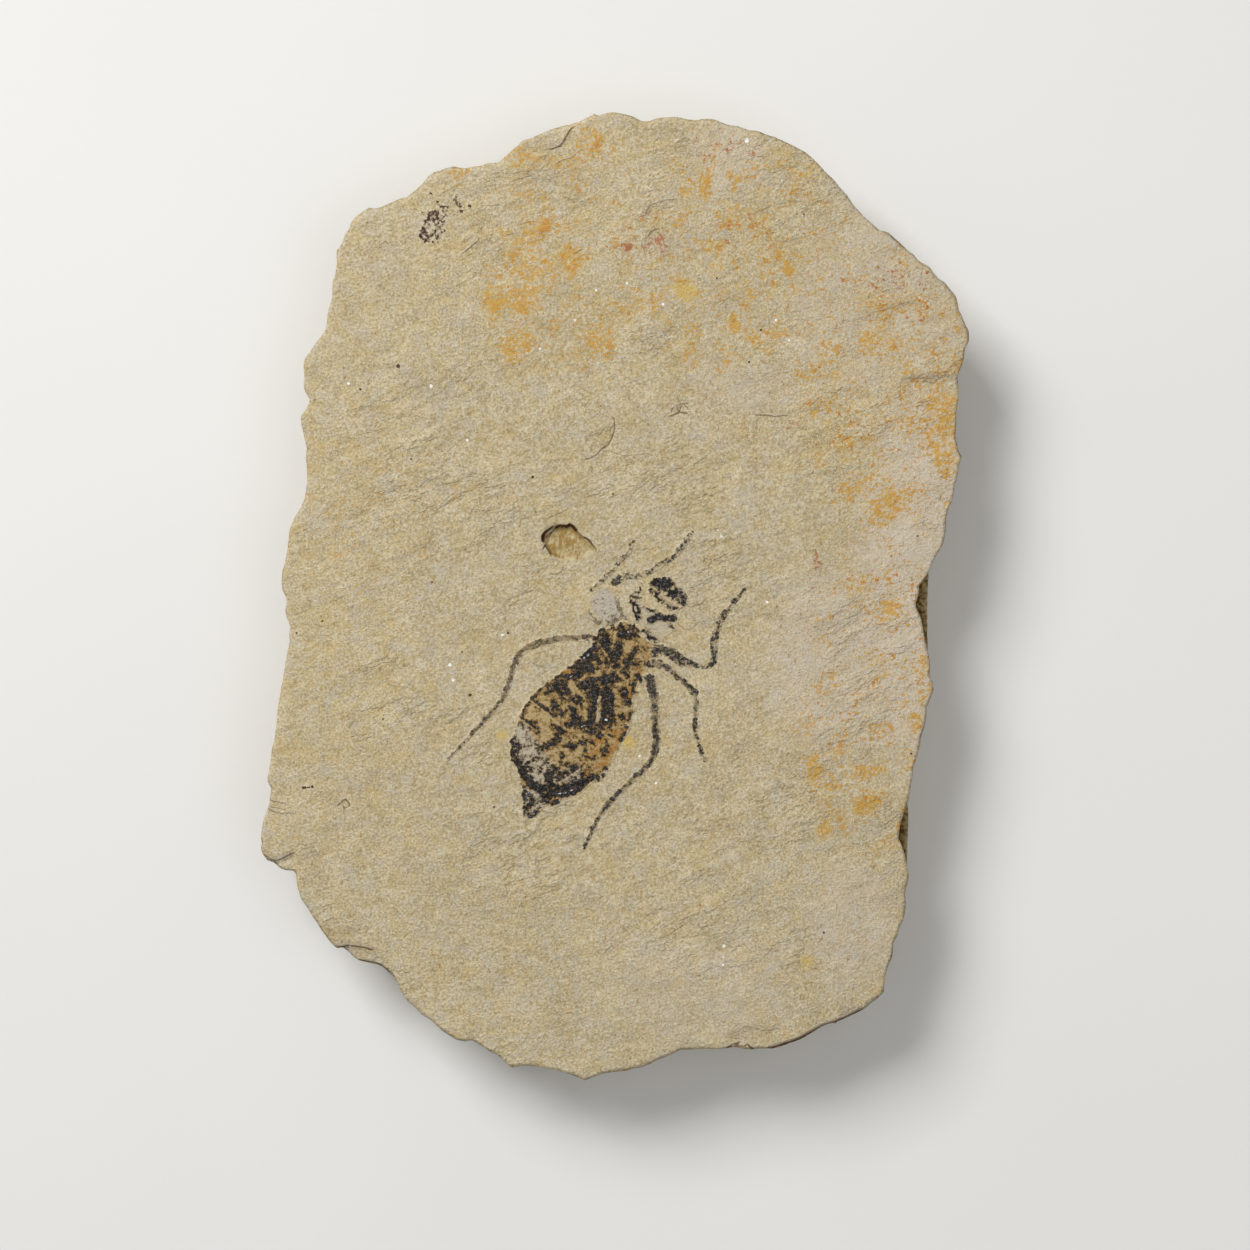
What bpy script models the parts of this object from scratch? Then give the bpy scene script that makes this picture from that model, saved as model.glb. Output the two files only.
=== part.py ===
"""A fossil dragonfly nymph on a broken plate of thin-bedded marl, lying on its back with the fossil up.

Metres, +Z up. +X is to the right and +Y towards the top of the plate, seen from above with the nymph's
head at the top. The origin is under the middle of the plate, on the surface that it lies on.

The plate is one stone: a loft of rings round its broken edge, with the flake scars and the pit cut into
its upper face. The nymph is a thin film that fills a shallow bed in that face, in one solid for the body,
one for the head and one for each eye and leg. Outlines are stated in the pixels of a straight-on picture
of the plate, and the plate's real width gives their scale.
"""

import bmesh
import bpy
import numpy as np
from mathutils import Matrix

MM = 0.001

# Driving dimensions
PLATE_WIDTH = 64.0 * MM
PLATE_THICKNESS = 9.0 * MM
FILM_DEPTH = 0.15 * MM
FILM_EDGE_HEIGHT = 0.10 * MM
BODY_CROWN = 0.25 * MM
HEAD_HEIGHT = 0.18 * MM
EYE_HEIGHT = 0.32 * MM
LEG_FLATNESS = 0.6
CLEARANCE = 0.3 * MM

# The picture's frame: the box of the plate's outline in it
LEFT_PX, RIGHT_PX = 259.0, 969.7
TOP_PX, BOTTOM_PX = 111.0, 1081.5
PIXEL = PLATE_WIDTH / (RIGHT_PX - LEFT_PX)
MIDDLE_PX = np.array([(LEFT_PX + RIGHT_PX) / 2, (TOP_PX + BOTTOM_PX) / 2])

# The broken edge of the upper face, clockwise from the top left
FACE_OUTLINE_PX = [
    (496, 160.4), (509, 151), (522, 139), (550, 127.6), (580, 119.6), (594, 112.4), (599, 114.6),
    (613, 111), (620, 112), (641, 120), (649, 120.4), (656, 117), (676, 116), (698, 119.6),
    (713, 117.6), (728, 123.6), (758, 129.6), (776, 135.6), (795, 145), (811, 155), (836, 180),
    (850, 195.6), (855, 205), (870, 219.5), (879.5, 227.7), (889.4, 230.8), (909, 249.7),
    (920, 259.7), (930.6, 265.3), (941, 278.8), (945.4, 280), (957.5, 294.4), (959.8, 308.3),
    (969.7, 330), (969.7, 341), (966.2, 347.3), (964.5, 361), (958.7, 376), (959.8, 399),
    (957.5, 410.5), (956.4, 436), (963, 456), (959, 474), (954, 499), (947, 518), (946, 536),
    (943, 546), (928, 575), (920.4, 586), (917, 603), (922.4, 620), (931, 660), (930.4, 676),
    (935, 689), (928, 708), (926, 726), (920.6, 749), (914.4, 768), (910, 799), (900, 832),
    (899.4, 839), (905, 853), (910, 878), (906, 893), (907, 904), (905, 920), (894.4, 945),
    (894, 956), (886, 978), (885, 993), (866, 1010), (840, 1022), (822, 1028), (800, 1041),
    (774, 1050), (752, 1051), (736, 1048.4), (711, 1050), (680, 1051), (658, 1061), (640, 1069.4),
    (627, 1072.7), (603, 1074.7), (585, 1081.5), (571, 1076), (557, 1072), (540.5, 1069),
    (518, 1067.6), (513.6, 1070), (497.5, 1057), (471.5, 1042), (456, 1041.5), (435, 1027),
    (421, 1016.7), (402.4, 998), (392, 977.5), (381, 969), (357.6, 962.5), (340.8, 949.5),
    (332.4, 947.2), (321.6, 934.5), (300, 901), (292.3, 872), (283.9, 871.6), (273.6, 864.5),
    (265.2, 861.4), (259, 848.7), (261.5, 823.5), (267.4, 805.7), (270, 789), (266.2, 778),
    (273.7, 738.4), (278, 698), (285.4, 655), (288.6, 641.3), (289, 626.4), (283.7, 611.5),
    (284.8, 596.5), (280, 578.5), (286, 551), (288, 530), (303.6, 498), (306.4, 478), (306, 448),
    (300, 422), (300, 415), (308, 403), (309, 396), (303.4, 390), (302.4, 363), (308.6, 350),
    (324.4, 329), (328, 306), (331.4, 280), (336, 264), (335, 250), (342, 240), (350.4, 220),
    (361, 210), (374, 207), (380, 205.4), (406, 195), (432, 170.4), (454, 164), (467, 165.6),
    (480, 164),
]

# The plate's rings run round this point, and the bedding plane is flat inside this share of the way out
POLE_PX = (605, 650)
FLAT_SHARE = 0.54
FACE_SHARES = (FLAT_SHARE, 0.68, 0.80, 0.90, 0.965)

# The lower beds of the broken edge, lowest first: top, how far each is set back, and how it wanders
LOWER_BEDS = [
    (2.2 * MM, 1.4 * MM, 0.9 * MM),
    (4.4 * MM, 0.8 * MM, 0.7 * MM),
    (6.9 * MM, 1.1 * MM, 0.8 * MM),
]
BED_SWELL = 0.5 * MM
BED_STEP = 0.15 * MM
BED_TAPER = 0.25 * MM
LEAST_SETBACK = 0.1 * MM
FACE_RIM = 0.1 * MM
# The chipped edge of the back: its height and how far in it reaches, each with its wander
CHIP_HEIGHT, CHIP_HEIGHT_SPREAD = 0.7 * MM, 0.4 * MM
CHIP_REACH, CHIP_REACH_SPREAD = 1.3 * MM, 0.9 * MM

# Where a lower bed sticks out past the face, its outer line: two notches of the right edge, and a long
# narrow ledge under the lower right edge
LEDGES_PX = [
    [
        (932, 566), (932.5, 575), (932.3, 588), (932, 600), (931.5, 612), (931.5, 635), (932, 650),
        (932.4, 660), (931.3, 668),
    ],
    [
        (910, 799), (911.5, 806), (912, 815), (912, 830), (911.5, 845), (911, 860), (911, 868),
        (910, 876),
    ],
    [(774, 1050.5), (793, 1045), (801, 1042), (816, 1034), (831.5, 1027), (838.5, 1027.6), (844, 1022),
     (853, 1017.4), (866, 1010.4)],
]
# How far to each side of a ledge the beds come forward to it, as an angle in radians round the pole, and
# the share of the ledge that each bed takes, lowest first
LEDGE_FADE = 0.16
LEDGE_SHARES = (0.3, 0.65, 1.0)

# Flake scars: outline, the deepest point, the point where the floor comes back to the face, depth
SCARS = {
    "pit": (
        [(541.6, 538), (543.8, 531), (552.8, 525.7), (568.4, 523.4), (575, 528), (581.8, 535.7),
         (590.7, 542.4), (596.3, 548), (595.2, 553.6), (586, 560), (572.9, 560), (557, 557),
         (548.3, 549)],
        (556, 530), (582, 566), 0.6 * MM,
    ),
    "top_flake": (
        [(560, 158), (572, 157), (580, 150), (590, 145), (597, 126), (592, 106), (574, 112),
         (573, 126), (569, 130), (564, 140), (551, 148)],
        (566, 156), (592, 116), 0.45 * MM,
    ),
    "middle_flake": (
        [(614.8, 419), (609.7, 442), (597, 454.8), (617, 451), (632.7, 456), (648, 453.5),
         (640, 436), (626, 424)],
        (604, 451), (640, 430), 0.25 * MM,
    ),
    "right_upper_flake": (
        [(850, 320), (875, 312), (890, 308), (905, 302), (918, 303), (922, 318), (895, 331),
         (866, 334)],
        (884, 309), (890, 334), 0.3 * MM,
    ),
    "right_edge_flake": (
        [(905, 379), (930, 378), (952, 375), (975, 376), (975, 394), (940, 398), (912, 392)],
        (932, 378), (938, 400), 0.35 * MM,
    ),
    "bottom_flake": (
        [(729, 1035), (738, 1032), (747, 1027), (755, 1028), (762, 1031), (770, 1031),
         (782, 1029), (796, 1060), (730, 1064)],
        (752, 1029), (752, 1120), 0.5 * MM,
    ),
    "lower_left_flake": (
        [(330, 951), (340, 948), (347, 946.5), (355, 947.5), (365, 949), (372, 951), (384, 961),
         (398, 978), (376, 984), (330, 966)],
        (360, 949), (350, 1010), 0.4 * MM,
    ),
    "left_corner_flake": (
        [(250, 848), (262, 855), (274, 861), (282, 859), (292, 852), (300, 866), (296, 884),
         (262, 884), (248, 862)],
        (278, 860), (266, 905), 0.4 * MM,
    ),
}

# The two sides of the body, from the point of the tail to the front of the thorax
BODY_LEFT_PX = [
    (523.8, 815.6), (523.8, 795), (519.3, 774.8), (511, 754.4), (513, 744), (514.9, 731.4),
    (518, 722.5), (523.8, 707), (530.8, 698.3), (544.8, 684.2), (556.3, 676.6), (571.6, 664.5),
    (584, 654), (595, 645), (595.2, 636), (601.9, 629.5), (615.3, 627.2), (624, 621.7),
]
BODY_RIGHT_PX = [
    (532, 816.9), (544.8, 805.4), (566.5, 796.5), (579.3, 792.7), (595.9, 778.6), (604.8, 769.7),
    (612.4, 760.8), (621.4, 739), (630.3, 720), (631.6, 703.4), (638, 681.7), (645.4, 672),
    (651, 654), (653, 645), (644.3, 638.4), (637.6, 634), (633, 625),
]
BODY_SECTIONS = 27
BODY_COLUMNS = 8
ABDOMEN_SHARE = 0.72
SEGMENT_GROOVE = 0.35

HEAD_PX = [
    (629.5, 592), (634, 589), (642, 589), (643, 598), (645, 605), (655, 610), (664, 613.5),
    (673, 613.5), (677, 617.5), (676, 623), (673, 632), (665, 638), (656, 641), (649, 634.5),
    (644, 629), (641, 623), (634, 619), (630, 611),
]

# Eyes: middle, half length, half width, and the turn of the long axis (down to the right is negative)
EYES = {
    "left_eye": ((605.5, 603.5), 20.5, 16.5, -45),
    "right_eye": ((667.3, 593), 21.5, 12.5, -29),
}

# Legs: points of the centre line with the width there, from the body to the tip
LEGS = {
    "left_front_leg": [
        (613.5, 582.5, 5), (621, 578, 6), (627.4, 575.5, 4), (637, 576, 4), (644.7, 574, 4),
        (650.8, 571, 3), (658.4, 565.6, 4), (664.6, 562.2, 3), (674, 557, 3), (680.5, 548, 3),
        (684.4, 542.8, 4), (688.8, 538, 4), (691.9, 531.8, 2),
    ],
    "left_middle_leg": [
        (591, 591.5, 2.5), (594.5, 586, 3), (601.4, 580.5, 4), (606.6, 575, 3.5), (612.7, 571.5, 3),
        (617, 564, 3), (623, 558.5, 3), (629, 552, 3), (631.2, 545.3, 3), (633.2, 539.5, 2.5),
    ],
    "left_hind_leg": [
        (588, 638, 4), (575, 638.4, 4), (563.9, 637.3, 4), (555, 638.4, 4), (543.8, 641.7, 5),
        (532.7, 645, 5), (523.8, 649.6, 5), (518, 656, 5), (514.8, 664, 5), (510.4, 676.3, 4),
        (507, 687.5, 4), (502.5, 698.7, 4), (492.5, 711, 4), (479, 724.3, 3.5), (465.7, 738.8, 3),
        (454.6, 751, 2.5), (447.9, 760, 1.8),
    ],
    "right_front_leg": [
        (659.5, 649, 6), (669.4, 650.3, 7), (676.5, 654.5, 7), (683.5, 660, 5.5), (691.9, 663, 4.5),
        (700.3, 665.2, 4), (707.5, 664.6, 4), (712.6, 659, 5), (713, 648, 5), (714.5, 637, 5),
        (717, 628, 4), (722, 618, 4), (728, 608.5, 4), (736, 599.5, 3), (745.2, 589, 2),
    ],
    "right_middle_leg": [
        (653.5, 662, 6), (660, 663, 6), (666, 667, 5), (672.3, 671.4, 5), (677.9, 677, 5),
        (684.5, 683, 4.5), (692.5, 690.5, 4), (695.6, 700, 4), (695.6, 712, 4), (695.6, 725.4, 3.5),
        (697.9, 741, 3), (702.3, 752, 3), (705, 760, 2.5),
    ],
    "right_hind_leg": [
        (651, 680, 7), (653.5, 690.6, 8), (654.5, 700, 7), (654.6, 711, 6), (655.8, 723, 6.5),
        (656.6, 734.4, 6.5), (656, 746.7, 6), (650.7, 760.8, 5), (643, 769.7, 4), (632.9, 778.6, 4),
        (622.7, 788.8, 4), (612.4, 799, 4), (604.8, 806.7, 4), (598.4, 816.9, 3.5), (592, 828.4, 3),
        (586.9, 839.8, 2.5), (583, 850, 2),
    ],
}

# Colour, roughness and metallic of each material
FINISHES = {
    "marl": ((0.53, 0.44, 0.27), 0.95, 0.0),
    "ochre_film": ((0.36, 0.24, 0.09), 0.55, 0.0),
    "dark_film": ((0.035, 0.033, 0.032), 0.45, 0.0),
    "pale_film": ((0.42, 0.37, 0.31), 0.8, 0.0),
}


def clear_scene():
    """Empties the scene."""
    for thing in list(bpy.data.objects):
        bpy.data.objects.remove(thing, do_unlink=True)


def new_collection(name):
    """Returns a new collection in the scene."""
    group = bpy.data.collections.new(name)
    bpy.context.scene.collection.children.link(group)
    return group


def material(name):
    """Returns a new Principled material with one of the finishes."""
    colour, roughness, metallic = FINISHES[name]
    made = bpy.data.materials.new(name)
    made.use_nodes = True
    shader = made.node_tree.nodes["Principled BSDF"]
    shader.inputs["Base Color"].default_value = (*colour, 1.0)
    shader.inputs["Roughness"].default_value = roughness
    shader.inputs["Metallic"].default_value = metallic
    made.diffuse_color = (*colour, 1.0)
    return made


def place(points_px):
    """Turns pixels of the picture, which count downwards, into metres from the middle of the plate."""
    points = (np.asarray(points_px, float) - MIDDLE_PX) * PIXEL
    return points * (1, -1)


def add_object(name, mesh, group, finish=None):
    """Links a mesh to a collection as a named object, with a material of its own if it has a finish."""
    thing = bpy.data.objects.new(name, mesh)
    group.objects.link(thing)
    if finish:
        made = material(finish)
        made.name = f"{name}_{finish}"
        mesh.materials.append(made)
    return thing


def mesh_from(name, points, faces):
    """Makes a mesh of points and faces, with every face pointing out."""
    mesh = bpy.data.meshes.new(name)
    mesh.from_pydata([tuple(p) for p in points], [], faces)
    shape = bmesh.new()
    shape.from_mesh(mesh)
    bmesh.ops.recalc_face_normals(shape, faces=shape.faces)
    shape.to_mesh(mesh)
    shape.free()
    return mesh


def make_cutter(thing):
    """Marks an object as a cutter."""
    thing.hide_render = True
    thing.display_type = "WIRE"
    return thing


def cut(thing, cutter):
    """Takes one cutter out of an object."""
    boolean = thing.modifiers.new(cutter.name, "BOOLEAN")
    boolean.operation = "DIFFERENCE"
    boolean.solver = "EXACT"
    boolean.object = cutter


def wander(steps, bed):
    """In and out movement of one bed round the edge, from -1 to 1: long swells with sharp chips on them."""
    turn = np.linspace(0, 2 * np.pi, steps, endpoint=False)
    swell = 0.6 * np.sin(5 * turn + 1.9 * bed) + 0.4 * np.sin(11 * turn + 4.1 * bed)
    chips = 1 - 2 * np.abs(np.sin(17 * turn + 2.3 * bed + 0.8 * np.sin(7 * turn + bed)))
    return 0.6 * swell + 0.4 * chips


def smooth_step(value):
    """0 below 0, 1 above 1 and an even S between them."""
    value = np.clip(value, 0, 1)
    return value * value * (3 - 2 * value)


def face_height(share, x, y):
    """Height of the bedding plane. It is flat round the nymph and sinks in low swells towards the edge."""
    swell = np.sin(x / (9.0 * MM) + 0.6) * np.cos(y / (12.5 * MM) - 0.4)
    ripple = np.sin((x + 1.6 * y) / (6.2 * MM))
    outward = smooth_step((share - FLAT_SHARE) / (1 - FLAT_SHARE))
    sink = 0.30 * MM * (1 + swell) + 0.10 * MM * (1 + ripple) + 0.25 * MM * share**8
    return PLATE_THICKNESS - outward * sink


def ledge_reach(outline, pole):
    """How far the lower beds stick out past each point of the outline: their line's way out less its own."""
    away = outline - pole
    turn, distance = np.arctan2(away[:, 1], away[:, 0]), np.linalg.norm(away, axis=1)
    reach = np.zeros(len(outline))
    for line_px in LEDGES_PX:
        line = place(line_px) - pole
        line_turn = np.arctan2(line[:, 1], line[:, 0])
        order = np.argsort(line_turn)
        line_distance = np.linalg.norm(line, axis=1)
        beyond = np.interp(turn, line_turn[order], line_distance[order], left=0, right=0)
        reach = np.maximum(reach, beyond - distance)
    return reach


def near_ledge(outline, pole):
    """1 at the directions of a ledge, down to 0 well to each side of it."""
    away = outline - pole
    turn = np.arctan2(away[:, 1], away[:, 0])
    near = np.zeros(len(outline))
    for line_px in LEDGES_PX:
        line = place(line_px) - pole
        line_turn = np.arctan2(line[:, 1], line[:, 0])
        beyond = np.maximum(line_turn.min() - turn, turn - line_turn.max())
        near = np.maximum(near, smooth_step(1 - beyond / LEDGE_FADE))
    return near


def ring(outline, pole, inward, height):
    """One ring of the loft: the outline moved towards the pole by a distance, at a height."""
    away = outline - pole
    length = np.linalg.norm(away, axis=1)
    flat = pole + away * (1 - inward / length)[:, None]
    return np.column_stack([flat, np.broadcast_to(height, len(outline))])


def slab_rings():
    """The rings of the plate, from the edge of its back, up its broken side, to the flat of its face."""
    outline = place(FACE_OUTLINE_PX)
    pole = place(POLE_PX)
    count = len(outline)
    reach = ledge_reach(outline, pole)
    near = near_ledge(outline, pole)
    bottom = CHIP_HEIGHT + CHIP_HEIGHT_SPREAD * wander(count, 21)
    chip = CHIP_REACH + CHIP_REACH_SPREAD * wander(count, 22)
    rings = []
    for number, (top, setback, spread) in enumerate(LOWER_BEDS):
        inward = np.maximum(setback + spread * wander(count, number), LEAST_SETBACK)
        inward = LEAST_SETBACK + (inward - LEAST_SETBACK) * (1 - near) - reach * LEDGE_SHARES[number]
        top = top + BED_SWELL * wander(count, number + 10)
        if number == 0:
            rings.append(ring(outline, pole, inward + BED_TAPER + chip, 0.0))
        rings.append(ring(outline, pole, inward + BED_TAPER, bottom))
        rings.append(ring(outline, pole, inward, top))
        bottom = top + BED_STEP
    undercut = 0.5 * (LEAST_SETBACK + BED_TAPER) * (1 + 0.5 * wander(count, 5))
    rings.append(ring(outline, pole, undercut, bottom))
    rim_height = face_height(1.0, outline[:, 0], outline[:, 1]) - FACE_RIM
    rings.append(ring(outline, pole, np.zeros(count), rim_height))
    for share in reversed(FACE_SHARES):
        flat = pole + (outline - pole) * share
        height = face_height(share, flat[:, 0], flat[:, 1])
        rings.append(np.column_stack([flat, height]))
    return rings


def build_slab(group):
    """The plate as a loft of its rings, closed by its flat back and by the flat middle of its face."""
    rings = slab_rings()
    count = len(rings[0])
    points = np.concatenate(rings)
    faces = []
    for level in range(len(rings) - 1):
        for step in range(count):
            after = (step + 1) % count
            low, high = level * count, (level + 1) * count
            faces.append((low + step, low + after, high + after, high + step))
    faces.append(tuple(range(count)))
    last = (len(rings) - 1) * count
    faces.append(tuple(range(last, last + count)))
    return add_object("slab", mesh_from("slab", points, faces), group, "marl")


def build_scar(name, group):
    """The cutter of a flake scar or the pit: its outline extruded upwards from a sloping floor."""
    outline_px, deepest_px, fade_px, depth = SCARS[name]
    outline, deepest, fade = place(outline_px), place(deepest_px), place(fade_px)
    slope = fade - deepest
    way = (outline - deepest) @ slope / (slope @ slope)
    surface = surface_at(deepest)
    floor = surface - depth * (1 - way)
    shape = bmesh.new()
    corners = [shape.verts.new((x, y, z)) for (x, y), z in zip(outline, floor)]
    base = shape.faces.new(corners)
    lifted = bmesh.ops.extrude_face_region(shape, geom=[base])["geom"]
    for corner in lifted:
        if isinstance(corner, bmesh.types.BMVert):
            corner.co.z = PLATE_THICKNESS + 2 * MM
    bmesh.ops.recalc_face_normals(shape, faces=shape.faces)
    mesh = bpy.data.meshes.new(name)
    shape.to_mesh(mesh)
    shape.free()
    return make_cutter(add_object(f"{name}_cutter", mesh, group))


def surface_at(point):
    """Height of the face over one point, from the share of the way out at which it lies."""
    outline, pole = place(FACE_OUTLINE_PX), place(POLE_PX)
    away = outline - pole
    towards = point - pole
    turn = np.arctan2(away[:, 1], away[:, 0])
    order = np.argsort(turn)
    reach = np.interp(
        np.arctan2(towards[1], towards[0]), turn[order], np.linalg.norm(away, axis=1)[order]
    )
    share = min(np.linalg.norm(towards) / reach, 1.0)
    return float(face_height(share, point[0], point[1]))


def along(points, shares):
    """Points at even shares of the way along a line of points."""
    steps = np.linalg.norm(np.diff(points, axis=0), axis=1)
    way = np.concatenate([[0], np.cumsum(steps)]) / steps.sum()
    return np.column_stack([np.interp(shares, way, points[:, axis]) for axis in (0, 1)])


def build_body(group):
    """Abdomen and thorax: sections across the body, crowned, with a groove at each abdominal segment."""
    shares = np.linspace(0, 1, BODY_SECTIONS)
    left, right = along(place(BODY_LEFT_PX), shares), along(place(BODY_RIGHT_PX), shares)
    across = np.linspace(-1, 1, BODY_COLUMNS + 1)
    mix = ((across + 1) / 2)[None, :, None]
    flat = left[:, None, :] * (1 - mix) + right[:, None, :] * mix
    groove = np.where((np.arange(BODY_SECTIONS) % 2 == 0) & (shares < ABDOMEN_SHARE), SEGMENT_GROOVE, 0)
    ends = np.sin(np.pi * np.clip(shares, 0.04, 0.96)) ** 0.5
    crown = (1 - across**4)[None, :] * (ends * (1 - groove))[:, None]
    height = PLATE_THICKNESS + FILM_EDGE_HEIGHT + BODY_CROWN * crown
    top = np.concatenate([flat, height[:, :, None]], axis=2).reshape(-1, 3)
    floor = PLATE_THICKNESS - FILM_DEPTH
    low_left = np.column_stack([left, np.full(BODY_SECTIONS, floor)])
    low_right = np.column_stack([right, np.full(BODY_SECTIONS, floor)])
    points = np.concatenate([top, low_left, low_right])

    wide = BODY_COLUMNS + 1
    first_left = BODY_SECTIONS * wide
    first_right = first_left + BODY_SECTIONS
    faces = []
    for row in range(BODY_SECTIONS - 1):
        here, there = row * wide, (row + 1) * wide
        for column in range(BODY_COLUMNS):
            faces.append((here + column, here + column + 1, there + column + 1, there + column))
        low, next_low = first_left + row, first_left + row + 1
        far, next_far = first_right + row, first_right + row + 1
        faces.append((low, next_low, next_far, far))
        faces.append((low, here, there, next_low))
        faces.append((here + BODY_COLUMNS, far, next_far, there + BODY_COLUMNS))
    for row in (0, BODY_SECTIONS - 1):
        edge = [row * wide + column for column in range(wide)]
        faces.append((*edge, first_right + row, first_left + row))
    return add_object("nymph_body", mesh_from("nymph_body", points, faces), group, "ochre_film")


def widened(outline, distance):
    """An outline moved outwards by a distance, each point along the middle of its two edges' normals."""
    before, after = np.roll(outline, 1, axis=0), np.roll(outline, -1, axis=0)
    along_edge = after - before
    normal = np.column_stack([along_edge[:, 1], -along_edge[:, 0]])
    normal /= np.linalg.norm(normal, axis=1)[:, None]
    area = np.sum(outline[:, 0] * after[:, 1] - after[:, 0] * outline[:, 1])
    return outline + normal * distance * np.sign(area)


def flat_plate(name, outline, bottom, top, group, finish=None):
    """A flat plate: its outline as a 2D curve, filled, extruded to its thickness and made a mesh."""
    curve = bpy.data.curves.new(name, "CURVE")
    curve.dimensions = "2D"
    curve.fill_mode = "BOTH"
    curve.extrude = (top - bottom) / 2
    spline = curve.splines.new("POLY")
    spline.points.add(len(outline) - 1)
    for point, (x, y) in zip(spline.points, outline):
        point.co = (x, y, 0, 1)
    spline.use_cyclic_u = True
    return curve_as_mesh(name, curve, (bottom + top) / 2, 1.0, group, finish)


def curve_as_mesh(name, curve, height, flatness, group, finish):
    """Turns a curve into a welded mesh, flattened by a factor and lifted to a height."""
    source = bpy.data.objects.new(f"{name}_curve", curve)
    group.objects.link(source)
    depsgraph = bpy.context.evaluated_depsgraph_get()
    mesh = bpy.data.meshes.new_from_object(source.evaluated_get(depsgraph))
    bpy.data.objects.remove(source, do_unlink=True)
    shape = bmesh.new()
    shape.from_mesh(mesh)
    bmesh.ops.remove_doubles(shape, verts=shape.verts, dist=0.005 * MM)
    bmesh.ops.transform(shape, matrix=Matrix.Diagonal((1, 1, flatness, 1)), verts=shape.verts)
    bmesh.ops.translate(shape, vec=(0, 0, height), verts=shape.verts)
    bmesh.ops.recalc_face_normals(shape, faces=shape.faces)
    shape.to_mesh(mesh)
    shape.free()
    mesh.materials.clear()
    mesh.name = name
    return add_object(name, mesh, group, finish)


def build_leg(name, points_px, group, clearance=0.0, flatness=LEG_FLATNESS, finish=None):
    """A leg, or the cutter of its bed: a flattened tube along the centre line, thinner to the tip."""
    centre = place([point[:2] for point in points_px])
    curve = bpy.data.curves.new(name, "CURVE")
    curve.dimensions = "3D"
    curve.bevel_depth = 1.0
    curve.bevel_resolution = 1
    curve.use_fill_caps = True
    spline = curve.splines.new("POLY")
    spline.points.add(len(centre) - 1)
    ends = centre.copy()
    ends[0] += clearance * unit(centre[0] - centre[1])
    ends[-1] += clearance * unit(centre[-1] - centre[-2])
    for point, (x, y), (_, _, width) in zip(spline.points, ends, points_px):
        point.co = (x, y, 0, 1)
        point.radius = width * PIXEL / 2 + clearance
    return curve_as_mesh(name, curve, PLATE_THICKNESS, flatness, group, finish)


def unit(direction):
    """The direction with a length of one."""
    return direction / np.linalg.norm(direction)


def build_eye(name, group, clearance=0.0, finish=None):
    """An eye, or the cutter of its bed: a sphere drawn out to an oval and flattened."""
    (x_px, y_px), half_length, half_width, turn = EYES[name]
    x, y = place((x_px, y_px))
    shape = bmesh.new()
    bmesh.ops.create_uvsphere(shape, u_segments=18, v_segments=8, radius=1.0)
    sizes = (half_length * PIXEL, half_width * PIXEL, EYE_HEIGHT)
    stretch = Matrix.Diagonal((*(size + clearance for size in sizes), 1))
    turned = Matrix.Rotation(np.radians(turn), 4, "Z")
    moved = Matrix.Translation((x, y, PLATE_THICKNESS))
    bmesh.ops.transform(shape, matrix=moved @ turned @ stretch, verts=shape.verts)
    mesh = bpy.data.meshes.new(name)
    shape.to_mesh(mesh)
    shape.free()
    suffix = "_bed_cutter" if clearance else ""
    return add_object(name + suffix, mesh, group, finish)


def cut_beds(slab, group):
    """Cuts the shallow beds of the nymph into the plate, each wider than its film by the clearance."""
    above = PLATE_THICKNESS + 2 * MM
    floor = PLATE_THICKNESS - FILM_DEPTH - CLEARANCE
    body_outline = np.concatenate([place(BODY_LEFT_PX), place(BODY_RIGHT_PX)[::-1]])
    for name, outline in (("body", body_outline), ("head", place(HEAD_PX))):
        plate = flat_plate(f"{name}_bed_cutter", widened(outline, CLEARANCE), floor, above, group)
        cut(slab, make_cutter(plate))
    for name in EYES:
        cut(slab, make_cutter(build_eye(name, group, CLEARANCE)))
    for name, points_px in LEGS.items():
        tube = build_leg(f"{name}_bed_cutter", points_px, group, CLEARANCE, 1.0)
        cut(slab, make_cutter(tube))


def main():
    """Builds the plate, cuts its scars and beds, and fills the beds with the nymph."""
    clear_scene()
    plate = new_collection("fossil_dragonfly_nymph_plate")
    cutters = new_collection("cutters")
    slab = build_slab(plate)
    for name in SCARS:
        cut(slab, build_scar(name, cutters))
    cut_beds(slab, cutters)

    build_body(plate)
    flat_plate(
        "nymph_head", place(HEAD_PX), PLATE_THICKNESS - FILM_DEPTH, PLATE_THICKNESS + HEAD_HEIGHT,
        plate, "dark_film",
    )
    build_eye("left_eye", plate, finish="pale_film")
    build_eye("right_eye", plate, finish="dark_film")
    for name, points_px in LEGS.items():
        build_leg(name, points_px, plate, finish="dark_film")


main()
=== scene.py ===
"""Looks of the fossil dragonfly nymph plate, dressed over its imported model.

Metres, +Z up. The plate lies on its back, and the camera looks straight down on the fossil. Outlines and
marks are given in the pixels of a straight-on picture of the plate, and the plate's real width gives their
scale. The stone is one mesh. Each film of the nymph is a thin sheet that stands a few hundredths of a
millimetre out of the stone where there is film, and sinks under it where there is none.
"""

import logging
from dataclasses import dataclass, field
from collections.abc import Callable, Iterable, Sequence
from enum import Enum
from math import radians
from typing import Optional, Union

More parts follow.
